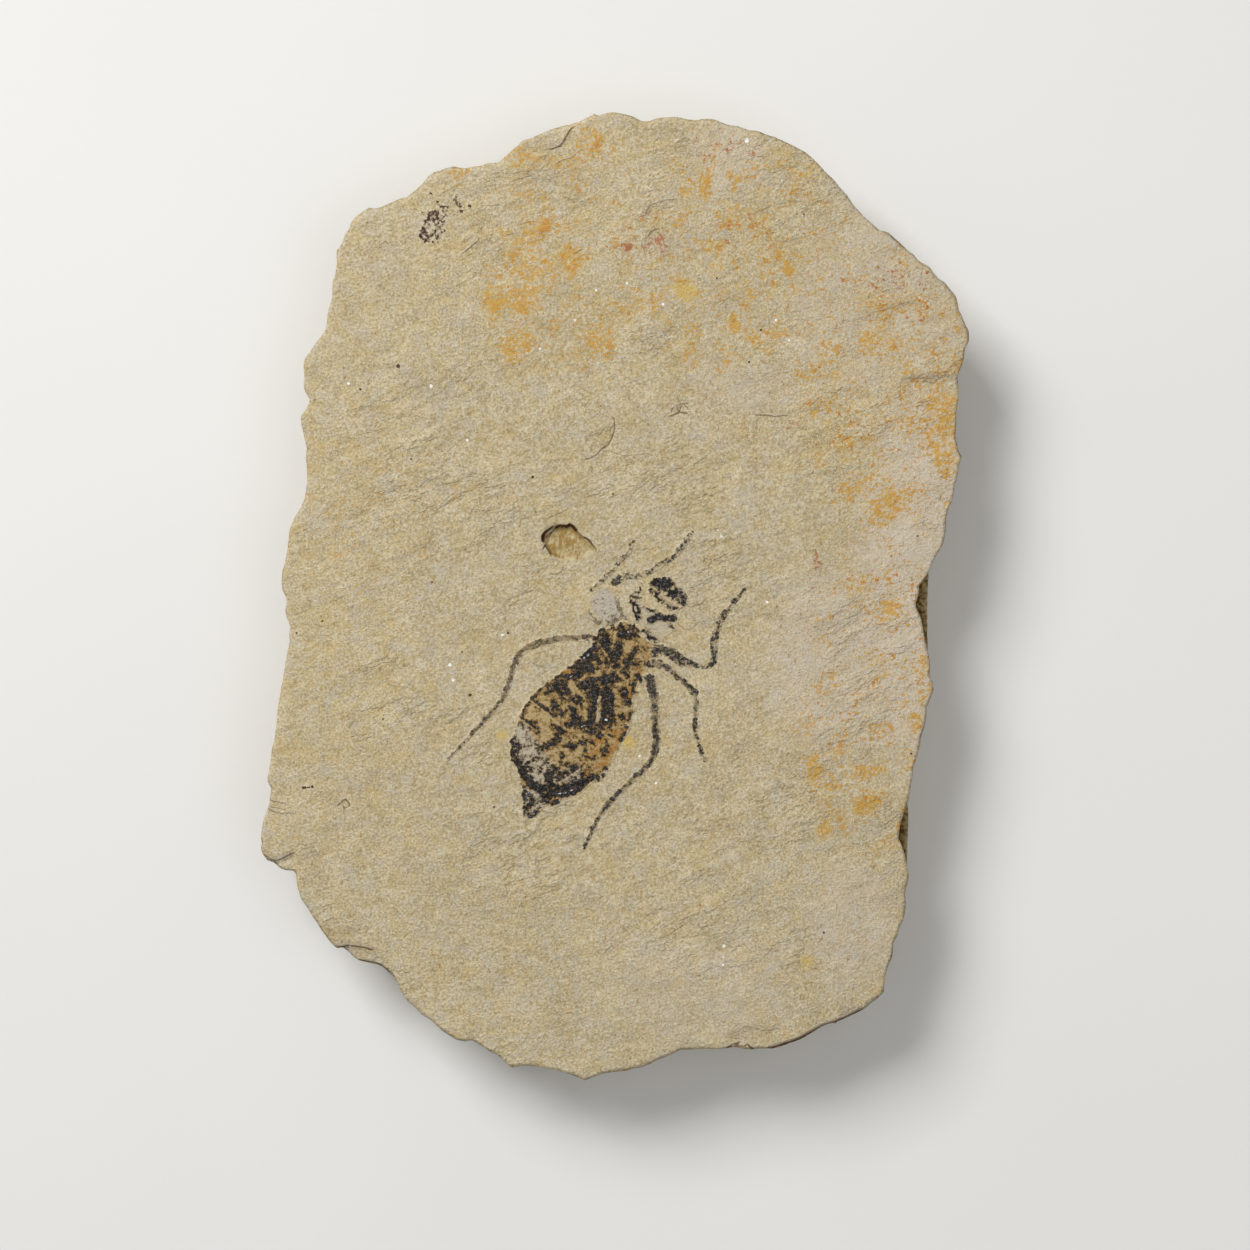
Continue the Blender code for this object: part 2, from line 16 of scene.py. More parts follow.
import bpy
import numpy as np
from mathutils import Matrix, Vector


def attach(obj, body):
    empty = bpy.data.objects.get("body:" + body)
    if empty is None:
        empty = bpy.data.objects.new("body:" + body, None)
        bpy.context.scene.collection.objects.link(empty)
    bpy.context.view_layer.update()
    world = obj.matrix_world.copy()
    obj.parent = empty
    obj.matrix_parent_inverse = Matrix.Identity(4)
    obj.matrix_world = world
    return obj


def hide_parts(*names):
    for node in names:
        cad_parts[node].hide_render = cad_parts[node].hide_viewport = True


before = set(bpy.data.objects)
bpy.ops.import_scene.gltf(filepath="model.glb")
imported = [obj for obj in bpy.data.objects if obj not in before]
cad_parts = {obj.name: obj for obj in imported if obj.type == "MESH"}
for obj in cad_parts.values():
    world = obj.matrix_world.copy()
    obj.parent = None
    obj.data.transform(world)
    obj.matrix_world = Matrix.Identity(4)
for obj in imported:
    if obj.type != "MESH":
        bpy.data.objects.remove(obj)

log = logging.getLogger("fossil_plate")
Array = np.ndarray
Pair = tuple[float, float]
Triple = tuple[float, float, float]
Colour = tuple[float, float, float, float]

MM = 0.001
PLATE_WIDTH = 64.0 * MM
PLATE_THICKNESS = 9.0 * MM
LEFT_PX, RIGHT_PX = 259.0, 969.7
TOP_PX, BOTTOM_PX = 111.0, 1081.5
PIXEL = PLATE_WIDTH / (RIGHT_PX - LEFT_PX)
MIDDLE_PX = np.array([(LEFT_PX + RIGHT_PX) / 2, (TOP_PX + BOTTOM_PX) / 2])
PICTURE_PX = 1250
POLE_PX = (605, 650)
FLAT_SHARE = 0.54
FULL_TURN = 2 * np.pi
SCREEN_WHITE = 255
LATTICE_PRIMES = (73856093, 19349663, 83492791, 265443576)
SCRAMBLERS = (1274126177, 668265263)
LOW_BITS = 0xFFFFFFFF

# The face's broken outline, clockwise in the picture
FACE_OUTLINE = """
496,160.4 509,151 522,139 550,127.6 580,119.6 594,112.4 599,114.6 613,111 620,112 641,120 649,120.4
656,117 676,116 698,119.6 713,117.6 728,123.6 758,129.6 776,135.6 795,145 811,155 836,180 850,195.6
855,205 870,219.5 879.5,227.7 889.4,230.8 909,249.7 920,259.7 930.6,265.3 941,278.8 945.4,280
957.5,294.4 959.8,308.3 969.7,330 969.7,341 966.2,347.3 964.5,361 958.7,376 959.8,399 957.5,410.5
956.4,436 963,456 959,474 954,499 947,518 946,536 943,546 928,575 920.4,586 917,603 922.4,620
931,660 930.4,676 935,689 928,708 926,726 920.6,749 914.4,768 910,799 900,832 899.4,839 905,853
910,878 906,893 907,904 905,920 894.4,945 894,956 886,978 885,993 866,1010 840,1022 822,1028
800,1041 774,1050 752,1051 736,1048.4 711,1050 680,1051 658,1061 640,1069.4 627,1072.7 603,1074.7
585,1081.5 571,1076 557,1072 540.5,1069 518,1067.6 513.6,1070 497.5,1057 471.5,1042 456,1041.5
435,1027 421,1016.7 402.4,998 392,977.5 381,969 357.6,962.5 340.8,949.5 332.4,947.2 321.6,934.5
300,901 292.3,872 283.9,871.6 273.6,864.5 265.2,861.4 259,848.7 261.5,823.5 267.4,805.7 270,789
266.2,778 273.7,738.4 278,698 285.4,655 288.6,641.3 289,626.4 283.7,611.5 284.8,596.5 280,578.5
286,551 288,530 303.6,498 306.4,478 306,448 300,422 300,415 308,403 309,396 303.4,390 302.4,363
308.6,350 324.4,329 328,306 331.4,280 336,264 335,250 342,240 350.4,220 361,210 374,207 380,205.4
406,195 432,170.4 454,164 467,165.6 480,164
"""

# The small teeth between the corners of that outline
EDGE_TEETH = """
500,158 515,146 530,136.4 540,132 560,125 570,123 589,115 605,112 628,113.6 635,116 664,116 686,118
703,117.6 720,120.4 740,125.4 749,129 767,133 785,140 804,150 818,161 827,171 840.5,186 851,199 861,211
884.7,230 894,235.5 900,240.7 915,252.8 925.5,262.8 935,272 950.6,286.6 958.7,299.6 963.6,316 966.2,323
970,336 965.3,355 961,369.8 959.8,384.5 957.5,422.7 960,450 960.6,464 956,486 950,507 947,526 938,554
934,561 931.6,568 924,580 919.4,594 917,607 920,614 924,630 926.4,642 929,652 931,668 933.6,681 932,699
927.6,716 922.4,739 917,762 914,776 911.6,788 908.4,804 905,813 902,822 902.4,845 907.4,862 908,886
901,928 898,938 889,968 879,999.6 873,1004 856,1015 848,1018.4 829,1025 814,1033 807,1037 790,1044.4
780,1048 760,1050 744,1050 730,1049 720,1050 700,1050 688,1051 673,1055 666,1058 650,1065.6 632.5,1070
620,1073 612.6,1074 597,1077 592,1079 579,1079.6 573.5,1077 566.6,1075 551,1071 528,1068 509,1068
503,1062 490,1053.5 483,1049 476,1045 463.8,1043.5 449,1037 441.6,1032.5 427.6,1020.4 415.5,1011
409,1005.5 398.7,990.5 395.9,984 387.5,974.7 374.4,966 365,963.8 352,958.8 346.4,953.2 336,950 326.8,941
316.5,926 311,917.7 306.3,909.3 297.5,894.4 296,887 294.5,876.7 277.3,868.6 261.5,856 260,844 259.2,839
260,833 264.3,814 268.4,797 266.7,783 268.8,764 270.5,751 275.2,725.6 276.3,710.7 281.2,681 283.7,668
288,633 285.9,619 285.4,603 281,590 281,571.5 284,561 287.6,541 290.6,524 294,516 300,507 305,490
306,464 305,457 304.4,442 302,431 304,410 302.4,384 303.6,377 302.6,371 303.6,358 314,343 319.6,336
326,320 326.4,314 331,298 334.4,273 336,258 339,245 343.6,234 348.4,227 355,215 368,206 388,201.6
398,197 413,189 421,182.4 427,175 438,169 445,166 462,166 474,164 486,161
"""

# The nymph's body, from the tip of its tail to its neck, along its left and its right side
BODY_LEFT = """
523.8,815.6 523.8,795 519.3,774.8 511,754.4 513,744 514.9,731.4 518,722.5 523.8,707 530.8,698.3
544.8,684.2 556.3,676.6 571.6,664.5 584,654 595,645 595.2,636 601.9,629.5 615.3,627.2 624,621.7
"""
BODY_RIGHT = """
532,816.9 544.8,805.4 566.5,796.5 579.3,792.7 595.9,778.6 604.8,769.7 612.4,760.8 621.4,739
630.3,720 631.6,703.4 638,681.7 645.4,672 651,654 653,645 644.3,638.4 637.6,634 633,625
"""

# Marks: the full width in pixels, then the points of the line. A width of 0 closes and fills the line.
# Carbon is black crust, a ridge is a clear raised edge, a mottle is dusky and clean is clear of black.
BODY_CARBON = """
0 593,645 599,648 597,654 592,660 588,668 580,669 569,667 575,663 583,655 590,648
7 591,668 583,673 577,675 569,679
11 581,685 590,683 600,684 610,680
9 590,695 602,695
12 607,692 608,720
7 593,703 593,722
7 573,711 574,722
6 568,725
11 577,722 583,726 592,728 598,730
3 561,713 566,713
0 551,682 557,679 565,681 567,688 562,692 553,692
2 557,676 562,675 566,677 568,681
3.5 547.5,682.5 549,686
1.5 546,686 541,688 538,691 536,695 531,697 530,699
6 547,692
4 532,700 536,703 541,707
3 529,703 525,707 523,712 521,717 521,720
5 546,709 551,713 553,716
3 553,702 552,706 556,707 562,705
3.5 562,694 561,690 565,687 568,690 567,695 564,698 570,700 576,697 581,698 580,702 575,702
3.5 520,716 525,721 531,724 536,729 538,731
6 533,724
6 553,727 559,728 563,731 558,734 557,738 553,743 547,746 539,747
7.5 513,742 516,746 513,753 515,759 519,764 522,770 526,776 531,782 537,787 543,790 550,793
3 526,766 530,761 535,757 541,758
4 531,770
3 540,771
4 546,761
8 551,769 556,771 560,776
8 549,775 550,783 555,788
6 550,791 560,788 570,786 578,784 586,780 593,777 597,778
5 553,794 562,794 572,792 578,789
2 524,787 523.5,800 524,813
4 530,796 532,800
5 527,808 531,803
4 541,791 545,796 550,798
4 545,801 551,804 557,802
2.5 538,811 534,815 529,816
3 562,754 562,757
3 561,762
2 566,764 569,763
7 573,768
3 564,773 568,773
5 582,774
0 566,745 571,743 577,745 576,750 570,751
6 584,742
4 586,751 587,757
5 594,758
5 592,743
4 574,780
2 580,761 584,765 588,768
4 597,775
4 603,775
3 606,769
9 605,752
5 604,728 609,728
6 599,736
2 606,740 608,746
1.5 608,734 615,736
5 622,716
3 632,711 629,719
4 627,728 624,734 621,739
5 623,691 626,697 630,703
2 633,692 637,692
5 633,685
4 638,677 641,680
4 612,675 617,679
10 602,633 606,640 604,647 608,653 612,659
7 619,645 618,655
8 622,633 628,636
8 632,628 636,631
4 636,636
3 611,624 614,629
4 621,624 619,628
6 588,637
7 595,638
4 594,643
6 606,663
4 611,662
6 616,665
4 636,649 634,652 630,657
2 624,662 631,663 638,663
5 627,666
3 623,671 628,675
2 592,655 597,657
2.5 591,661 596,658 600,662 598,666
"""
BODY_RIDGES = """
3 588,673 578,683
3.2 600,697 598,706 599,714 597,721
2.2 531,701 540,708 548,715
2.0 548,715 557,723 568,731 578,737
2.0 578,737 590,745 601,753
2.2 520,719 529,725 537,731
2.2 566,750 577,760 590,770
3 570,681 576,688 583,697
3 571,703 578,707
2.5 600,645 604,652 609,659
2 589,722 597,727 604,733
2 612,691 620,698
2 601,687 610,684
"""
BODY_PALE = """
0 513,726 527,726 536,739 545,751 549,760 556,768 564,780 552,787 534,783 522,768 511,750
0 561,769 578,767 585,774 577,785 563,785
14 523,729
0 522,786 546,793 548,806 532,818 521,818
3 598,697 597,709 598,721
"""
BODY_ORANGE = """
5 612,732 620,732
4 617,738 617,755
7 605,758 605,766
4 583,680
4 640,670
5 630,688 630,700
4 648,656
4 633,644
3 564,671 570,671
4 587,773
6 594,744 602,739
5 588,757 598,751
6 613,747 610,756
4 596,766 601,763
"""
BODY_MOTTLE = """
0 566,665 598,640 625,625 640,635 650,650 640,672 634,690 632,704 622,722 600,730 575,728 560,715 545,690
0 511,740 520,742 532,772 552,786 600,772 606,780 560,802 524,800 512,765
0 523,785 546,792 548,806 532,818 522,818
9 541,724
9 540,806
0 514,722 532,722 540,738 528,752 513,744
12 620,682 625,686
16 560,742 590,738
20 556,706 570,716
14 545,704
18 610,655 630,655
14 605,668 625,672
12 575,772 590,768
10 545,752
12 613,705 622,722
"""
BODY_CLEAN = """
0 566,681 573,680 586,691 581,697 572,696
0 539,728 553,729 556,736 551,741 542,739
0 601,645 609,657 606,661 599,650
0 623,643 634,641 635,651 627,656
6 640,656 648,656
8 549,706
0 536,713 546,716 550,722 540,724
8 598,763
5 610,741
"""
# Glints are painted highlights: white spots where the glossy crust reflects the light
BODY_GLINTS = """
1.2 584,658 589,655
1 594,682
3.4 606,719
1.2 581,727 585,725
1.0 558,793.6 561,793.4
0.9 564,793 566,792.7
0.9 570,791.3 572,790.2
2 628,632
1.2 569,678 573,675
"""

HEAD_CARBON = """
1.8 630,602 630,597 631,594 636,592 641,592 640,588
2 632,596 637,598 641,598
0 631,600 635,602 639,606 641,612 641,617 639,622 636,620 633,613 632,607
3 645,607 650,610 655,611
2 657.5,610
7 651,620 658,616 665,617 674,618
2.5 671,626 674,629
5 644,631 647,632 650,638 655,640
"""
HEAD_PALE = """
13 655,629 663,630
4 636,611 637,614
"""
LEFT_EYE_CARBON = """
2.5 587,608 590,613 593,619 598,623
2 617.5,598 618.5,604 621,610 625,615 626,618
3 617,620
3 623,624
"""
LEFT_EYE_PALE = """
0 596,589 603,586 612,590 618,598 621,608 624,617 616,623 606,622 597,616 591,607 591,597
"""
LEFT_EYE_MOTTLE = """
0 594,622 602,619 610,622 617,618 622,612 628,616 624,626 612,630 598,630
4 616,600 620,609
"""
RIGHT_EYE_CARBON = """
0 649,581 653,578 660,577 667,577 671,580 676,585 670,588 667,590 660,589 655,586 649,584
0 669,590 675,588 679,591 678,598 672,598 668,595
5 681,592 684,597 683,603
3 677,599 680,603
3.5 658,590 655,596 659,600
3 663,603 667,605 670,608
2.5 673,608 677,608
2 650,590 655,597
"""
RIGHT_EYE_MOTTLE = """
20 662,592 676,600
"""
HEAD_COVER = (
    "630,593 641,588 643,599 646,606 656,609 664,613 675,613 678,620 672,631 664,637 657,641 "
    "648,637 643,628 634,620 630,610"
)
LEFT_EYE_COVER = "596,588 603,585.5 612,589 618,597 621,607 625,617 617,625 606,626 597,620 590,609 590,596"
RIGHT_EYE_COVER = (
    "649,583 654,578 661,576.5 668,577.5 675,584 682,589 687,597 686,604 679,608.5 671,608 "
    "662,603 655,596 650,589"
)

# How far the edges of some kinds of mark blur, in millimetres
MARK_BLURS = {"mottle": 0.25, "clean": 0.2, "pale": 0.3, "orange": 0.2, "glints": 0.08}

# The ring-shaped scrap of carbon at the upper left
SCRAP_COVER = "430,214 438,207 448,209 450,216 446,226 445,239 430,243 421,238 423,226"
SCRAP_CARBON = """
1.5 437,201 439,206
2 440,206 443,205 447,205
1.3 443,204.5 447,204.5 447,209.5 443,209.5 443,204.5
1.5 431,208 434,210
2 437,208
4 433,218
2 435,217 437,218
7 430,213 435,212
3.5 429,216 427,220 425,221 424,225 423,228 421,232 420,235 422,238 425,240
4 427,221 427,225
4 424,231 424,233
2.5 425,234 427,237
2.5 429,240.5 433,241
2 436.5,236 437,241
3 437,229 434,231 432,234
2 440,215 442,216
2.5 440,219 442,221
2 436,224
3 438,222
2.5 439,226 440,228 441,230
2 440,225 443.5,226 444,230 441.5,232 439.5,230
3 440,231
2.5 430,192.5
2.5 422,212
2.5 455,196 453,199
2 455,201 457,203
4 459,204
3 461,210
2 453,214
4 469,205
1.5 430,198
1.5 444,213
"""

# Legs: cover of thin film, strength of the carbon and its darkness, then the centre line with the full width
# of the film at each point, then the black marks
LEGS = {
    "left_front_leg": (
        (0.35, 0.9, 0.46),
        """613.5,582.5,6 621,578,7 627.4,575.5,5 637,576,5 644.7,574,5 650.8,571,4 658.4,565.6,5
664.6,562.2,3.5 674,557,3.5 680.5,548,4.5 684.4,542.8,5 688.8,538,4 691.9,531.8,2""",
        """
5.5 613.5,582.5 617.5,581 621,578
4 624,576.5 628,575
3 631,576
3 635,577 638,577
3 641,576
3.5 644.5,574.5 649,572.5
3 652,570
3 656.5,567 659.5,565
2 663,562.5 668,560.5
2.5 672,558 676,554.5
4 679.5,549.5 683,545 686,541
2.5 688,538.5 689.5,536
2.5 692,532.5
""",
    ),
    "left_middle_leg": (
        (0.25, 0.85, 0.36),
        """591,591.5,2.5 594.5,586,3 601.4,580.5,5 606.6,575,4 612.7,571.5,3.5 617,564,3 623,558.5,3
629,552,4 631.2,545.3,3 633.2,539.5,2.5""",
        """
2 591.5,591
2.5 594.5,586 596,584
4 599,583 602,580
3 604,577 608,574 613,571.5
2 617,563
2 621.5,558 625,555
3 627.5,553 629.5,551.5
2 630,546
2 631.5,542.5 632,541
""",
    ),
    "left_hind_leg": (
        (0.8, 0.9, 0.3),
        """592,637,5 588,637.6,5 575,638.4,5 563.9,637.3,5 555,638.4,5.5 543.8,641.7,6
532.7,645,6 523.8,649.6,5.5 518,656,5.5 514.4,664,5.5 510.6,676.3,4.5 507,687.5,4.5 502.5,698.7,4.2
492.5,711,4
479,725.3,3.5 465.7,740,2.9 454.6,752,2.4 447.9,760,1.6""",
        """
4.5 547,641 540,643 533,646 527,648
3 524,649 519,655
5 516,660 514,664
3.5 513,667 511,676 508,686 505,694 502,700
2.8 500,702 492,712 484,720 476,729
3.2 473,733 467,739
1.8 465,742 457,750 449,758
3.5 554,639
3.5 561,638
4 568,637
4 575,638
3 582,637
4 586,636.5 593,636
""",
    ),
    "right_front_leg": (
        (0.5, 0.95, 0.52),
        """652,650,7 660,649.5,8 669.4,651.5,9 676.5,657,8.5 683.5,662,6.5 691.9,664,5 700.3,666,4.5
707.5,666,4 713,662.5,5.5 714,650,6.5 714.5,637,6 717,628,5 722,618,4.5 728,608.5,4
736,599.5,3.5 745.2,589,2""",
        """
7 653.5,650 660,649.5 666,650 672,653.5
8 671,653.5 677,658.5 682,662.5
5 684,662 692,663.7
3 694,664.5 700,666
3 703,666.5 707,666.5
3 711,665 713,663.5
4 714.5,662 713.5,657
5 712.5,653 712.5,649.5
2 711.8,647 712,640 712.5,634 713,628
2 716,656 716,648 715.8,640 716,634
3.5 717.5,627 720,622 723.5,617
3 724.5,615 728,609
2.5 730,605 735,600 738.5,597 744.5,589
6 653,656 656,660
""",
    ),
    "right_middle_leg": (
        (0.6, 0.95, 0.44),
        """645,663.5,8 653.5,662.5,7 660,664,6.5 666,667.5,5.5 672.3,671.8,5.5 677.9,677,5.5
684.5,683,5 692.5,690.5,5 696.6,700,4.5 695,712,4 694.5,725.4,3.5 696.5,738,3 699.5,747,3
702.3,753,4 705,761,3""",
        """
7 644.5,663.5 652,663.5
5 653,662 659,663
4 661,665.5 667,668.5 673,672
4 673,672.5 679,677.5 684,682
4.5 688,686 692,690 696,692
3 697,697 697,702
2.5 695,707 694.3,714 694.3,722 694.5,728
2 696,734 698,742 700,748
3.5 702,752 704.5,760
""",
    ),
    "right_hind_leg": (
        (0.7, 0.95, 0.42),
        """648,675,8 652,686,8.5 654.3,700,7.5 654.6,711,7 655.5,723,7 656.2,734.4,7 656.3,746.7,6.5
651.5,760,5.5 643,769.7,5 632.9,779,5 622.7,788.8,4.5 612.4,799,4.5 604.8,807.5,4.5
598.4,817.5,4 592,829,3.5 586.9,840.5,3 583,850,2""",
        """
8 648,677 652,686 654.5,693
6 655,694 656,699
2 652.5,698 652.7,706 653,714
2.2 657,700 657,708 656.8,715
6.5 654.5,720 655,728 655.5,735
4 657,738 657,746
5 656,748 654.5,755
4 653,759 648,765
3.5 646,767 640,772 634,778
3 631,780 625,785.5
3 621,789.5 615,795.5
3 611,799.5 607,804.5
4 605,807.5 603,810.5
2.5 601,814 597,820.5
2.5 595,824 592,829.5
3.5 590.5,832.5 588,838.5
2 586.5,842.5 584,848.5
""",
    ),
}

# Flake scars: outline, deepest point, point where the floor comes back to the face, depth in millimetres
SCARS = [
    ("560,158 572,157 580,150 590,145 597,126 592,106 574,112 573,126 569,130 564,140 551,148",
     (566, 156), (592, 116), 0.15),
    ("614.8,419 609.7,442 597,454.8 617,451 632.7,456 648,453.5 640,436 626,424",
     (604, 451), (640, 430), 0.16),
    ("850,320 875,312 890,308 905,302 918,303 922,318 895,331 866,334", (884, 309), (890, 334), 0.2),
    ("905,379 930,378 952,375 975,376 975,394 940,398 912,392", (932, 378), (938, 400), 0.24),
    ("729,1035 738,1032 747,1027 755,1028 762,1031 770,1031 782,1029 796,1060 730,1064",
     (752, 1029), (752, 1120), 0.16),
    ("330,951 340,948 347,946.5 355,947.5 365,949 372,951 384,961 398,978 376,984 330,966",
     (360, 949), (350, 1010), 0.3),
    ("250,848 262,855 274,861 282,859 292,852 300,866 296,884 262,884 248,862",
     (278, 860), (266, 905), 0.28),
    ("645,212 650,205 665,200 675,199 690,206 688,222 668,230 650,224", (658, 204), (682, 228), 0.16),
    ("647,238 652,230 658,228 666,232 664,242 654,246", (650, 233), (662, 244), 0.16),
    ("670,416.5 676.5,411.4 684,405 688,402.5 694,410 688,420 676,424", (679, 410), (688, 422), 0.18),
    ("755.6,415 765.8,415 776,416.5 786,415 788,424 770,430 757,425", (770, 416), (770, 430), 0.14),
]

# The small pit: its outline, its deepest point and where its floor comes back to the face, then marks for
# its dark rim, its shaded wall and its pale flecks
PIT_DEEPEST, PIT_END = (553.0, 531.0), (586.0, 562.0)
PIT_OUTLINE = """
543,541 541.5,538 543,534 547,530 552,527 560,525 567,526 569,524 572,525 575,528 577,531 580,535
584,537 588,539 590,541 592,544 595,546 596.5,549 595,554 586,560 573,561 560,559 551,555.5 549,551
547,548 545,545
"""
# The dark rim and the shaded wall are painted shade of the pit's steep wall, in dark brown and olive
PIT_RIM_SHADOW = """
3.2 543,541 542,537.5 543.5,534 547.5,530.6 552.5,527.6 560,525.8 567,526.2 569.5,524.6 572.5,526 576,530
1.3 576,530 580,534.5 584,537
2.0 584,537 588,539.2 591,542.5 592.5,545
1.2 593,546 596.5,549
1.6 543,549 545,545 547,548.5 549,551.5 551,555
1.1 544,537 549,536.8 550.5,533.5 553.5,531
"""
PIT_SHADE = """
4 548,546 556,548.5 562,547.5 567,545.5 571,543
5 550,549 553,553
2 563.5,532 563.5,541
2 575,535 575,541
4 578,535 584,540 592,548
3 556,529 572,529
"""
PIT_CREAM = """
4.5 548,533 552,530.5
3 545,540
3 572,537
5 586,556 592,552
4 566,559 574,560
"""

# Where lower beds stick out past the face: the outer line of each ledge
LEDGES = (
    "932,566 932.5,575 932.3,588 932,600 931.5,612 931.5,635 932,650 932.4,660 931.3,668",
    "910,799 911.5,806 912,815 912,830 911.5,845 911,860 911,868 910,876",
    "774,1050.5 793,1045 801,1042 808.5,1038 816,1034 822,1031 831.5,1027 838.5,1028 844,1022 853,1017.4 "
    "866,1010.4",
)

# Cracks and thin ledges: width in pixels, depth of the step in hundredths of a millimetre, how dark the
# line is, then the points
# Each dark line is partly the crack and partly painted shade of its step; the widest, along the lower right
# edge, is painted shadow of the bed below it
CRACKS = """
1.7 4 0.85 551,148 560,145 564,140 569,130 573,126
1.3 4 0.55 557,163 562,159 572,157 577,152 581,149
1.2 4 0.5 645,212 650,205 665,200 675,199
1.6 3 0.7 647,238 652,230 658,228
1.2 2 0.5 575,253 581,249
1.2 3 0.4 520,224 528,221 535,221
1.5 5 0.7 614,418 615,428 613,436 608,445 601,450 597,454.5 590,458.5 587,459
1.2 3 0.4 601,451 609,450.5 616,453 624,456 632,455 648,453.5
1.6 4 0.8 670,417 675,414 680,412 687,413
1.2 2 0.5 671,409 677,405 688,402.5
1.4 3 0.7 755.6,415 765.8,415 776,416.5 786,415
1.2 2 0.4 630,383 636,380
1.6 6 0.25 860,318 875,312 890,308 905,302 918,303
1.6 5 0.2 845,321 875,319 895,322
1.5 4 0.15 880,332 905,322 930,318 955,308
1.5 4 0.15 862,300 880,292 902,286
1.6 6 0.3 910,378 930,378 950,376
2.0 8 0.9 340,948 347,946.5 355,947.5 365,949 372,951
1.6 5 0.6 355,961 375,964 383,968 388,973
1.4 5 0.6 274,862 282,859 287,856 292,853
1.4 4 0.6 262,855 270,860 274,862
1.2 3 0.6 270,801 285,804
1.4 4 0.5 266,808 273,812 281,814 290,813
1.8 6 0.9 725,1049 733,1045 741,1042.5 748,1045 754,1050
1.2 3 0.5 735,1048 741,1046 747,1048
3.4 3 0.95 770,1048.5 797.7,1039.5 816,1030 823,1026.5 847,1018 861,1010.5
1.2 3 0.35 729,1035 738,1032 741,1029 747,1027 755,1028 762,1031 770,1031 778,1029
1.2 2 0.4 602,956 612,945
1.2 1 0.7 460,255 471,246 479,239
1.0 1 0.3 480,205 500,204
1.6 3 0.35 672,620 686,630 691,629 700,622 706,621
1.2 2 0.5 551,574 556,574 560,573 562,570 563,567
1.6 3 0.8 337,806 341,802 346,799 350,805
1.6 3 0.8 343,803 344,810
1.4 3 0.2 530,662 545,668 560,668
"""

# Grains on the face: full width in pixels, then the points. Dark ones first, then the white crystals.
DARK_GRAINS = """
4 398,366
2.5 360,389
3 532.7,477
2 432,582
2.6 508,633
3.4 470,695
2 411,459
2 296,633
2 322,621
2 613,494
2 383,719
2.4 761,330
2.4 749,362
2 717,278
2 804,214
2.2 494,807
2 918,536
2.4 824,933
2.2 912,754
1.8 536,512
3 303,788
3 312,787
2 462,652
"""
WHITE_GRAINS = """
4.4 747,140
3.4 431,386
2.6 627,283
2.4 596,290
2.4 575,320
2.4 540,349
2.6 663,304
2.4 776,320
2.4 789,340
2.6 467,440
3.6 450,665
3 453,680
2.8 721,536
2.6 767,602
3.2 724,946
2.6 723,965
2.8 348,383
2.4 639.5,756
2.4 656,783
2.2 502,635
"""

# Stains, and patches paler than the rest: strength, then the two corners of the oval's box
ORANGE_STAINS = """
0.75 500,138 548,172
0.9 566,118 606,168
0.6 548,150 590,182
0.8 443,162 468,188
1.2 516,216 553,236
1.2 556,238 584,282
1.1 534,252 562,300
1.0 482,252 504,326
1.2 500,322 534,367
0.9 546,310 562,340
0.9 583,318 617,362
0.8 484,222 560,330
1.3 698,170 714,202
1.2 678,183 692,197
1.1 723,166 735,180
1.4 779,261 799,277
1.2 737,284 759,313
1.3 727,311 741,336
1.3 739,332 761,343
1.0 764,327 777,336
0.8 679,323 702,337
0.8 679,343 702,372
0.9 650,304 660,313
0.8 848,318 910,364
0.8 878,378 897,404
0.7 808,368 817,397
1.0 920,370 965,482
0.9 813,453 827,472
0.9 838,463 872,502
0.9 858,478 917,532
0.8 853,568 882,602
0.8 878,593 907,622
0.9 913,653 932,687
0.8 903,708 927,737
0.8 838,726 852,740
1.2 806,748 824,787
1.0 843,763 887,782
0.9 848,793 882,820
1.2 817,819 833,837
0.9 839,819 847,832
0.8 883,833 902,850
0.44 630,120 850,390
0.5 790,230 985,560
0.42 790,520 950,870
0.3 470,110 680,400
0.2 280,380 480,620
"""
RED_STAINS = """
0.6 600,225 690,265
1.15 641,228 672,259
0.5 680,125 765,165
0.5 715,210 790,260
0.55 840,255 960,330
0.45 700,400 900,470
0.45 930,600 780,560
1.7 620,242 633,253
0.9 639,234 669,256
0.8 639,204 656,223
0.8 721,223 736,247
0.9 734,137 751,148
1.1 811,546 823,577
0.9 729,433 741,444
1.5 576,646 579,651
1.3 580,650 586,656
0.6 780,410 806,440
"""
YELLOW_STAINS = """
1.6 670,277 700,304
0.7 699,257 731,283
1.5 799,954 816,969
1.5 619,734 637,751
1.3 492,728 508,742
0.5 590,136 660,170
0.5 300,560 420,760
0.6 700,180 800,300
"""
PALE_PATCHES = """
0.95 850,380 1010,800
0.7 760,560 900,760
0.6 800,850 900,1000
0.45 760,200 1000,400
0.4 600,930 800,1060
0.6 690,115 770,235
0.4 690,360 800,420
"""


def read_points(text: str) -> Array:
    """Reads points such as "12,34 56,78" as rows of numbers."""
    return np.array([point.split(",") for point in text.split()], float)


def place(points_px: Union[Array, Pair]) -> Array:
    """Turns pixels of the picture, which count downwards, into metres from the middle of the plate."""
    return (np.asarray(points_px, float) - MIDDLE_PX) * PIXEL * (1, -1)


def smooth_step(value: Array, low: float = 0.0, high: float = 1.0) -> Array:
    """0 below low, 1 above high and an even S between them."""
    share = np.clip((value - low) / (high - low), 0, 1)
    return share * share * (3 - 2 * share)


def srgb(red: float, green: float, blue: float) -> Colour:
    """A screen colour from 0 to 255 as linear light, by the usual curve of screens.

    Args:
        red, green, blue: the screen's values.

    Returns:
        The colour.
    """
    screen = np.array([red, green, blue]) / SCREEN_WHITE
    linear = np.where(screen < 0.04045, screen / 12.92, ((screen + 0.055) / 1.055) ** 2.4)
    return (*linear.tolist(), 1.0)


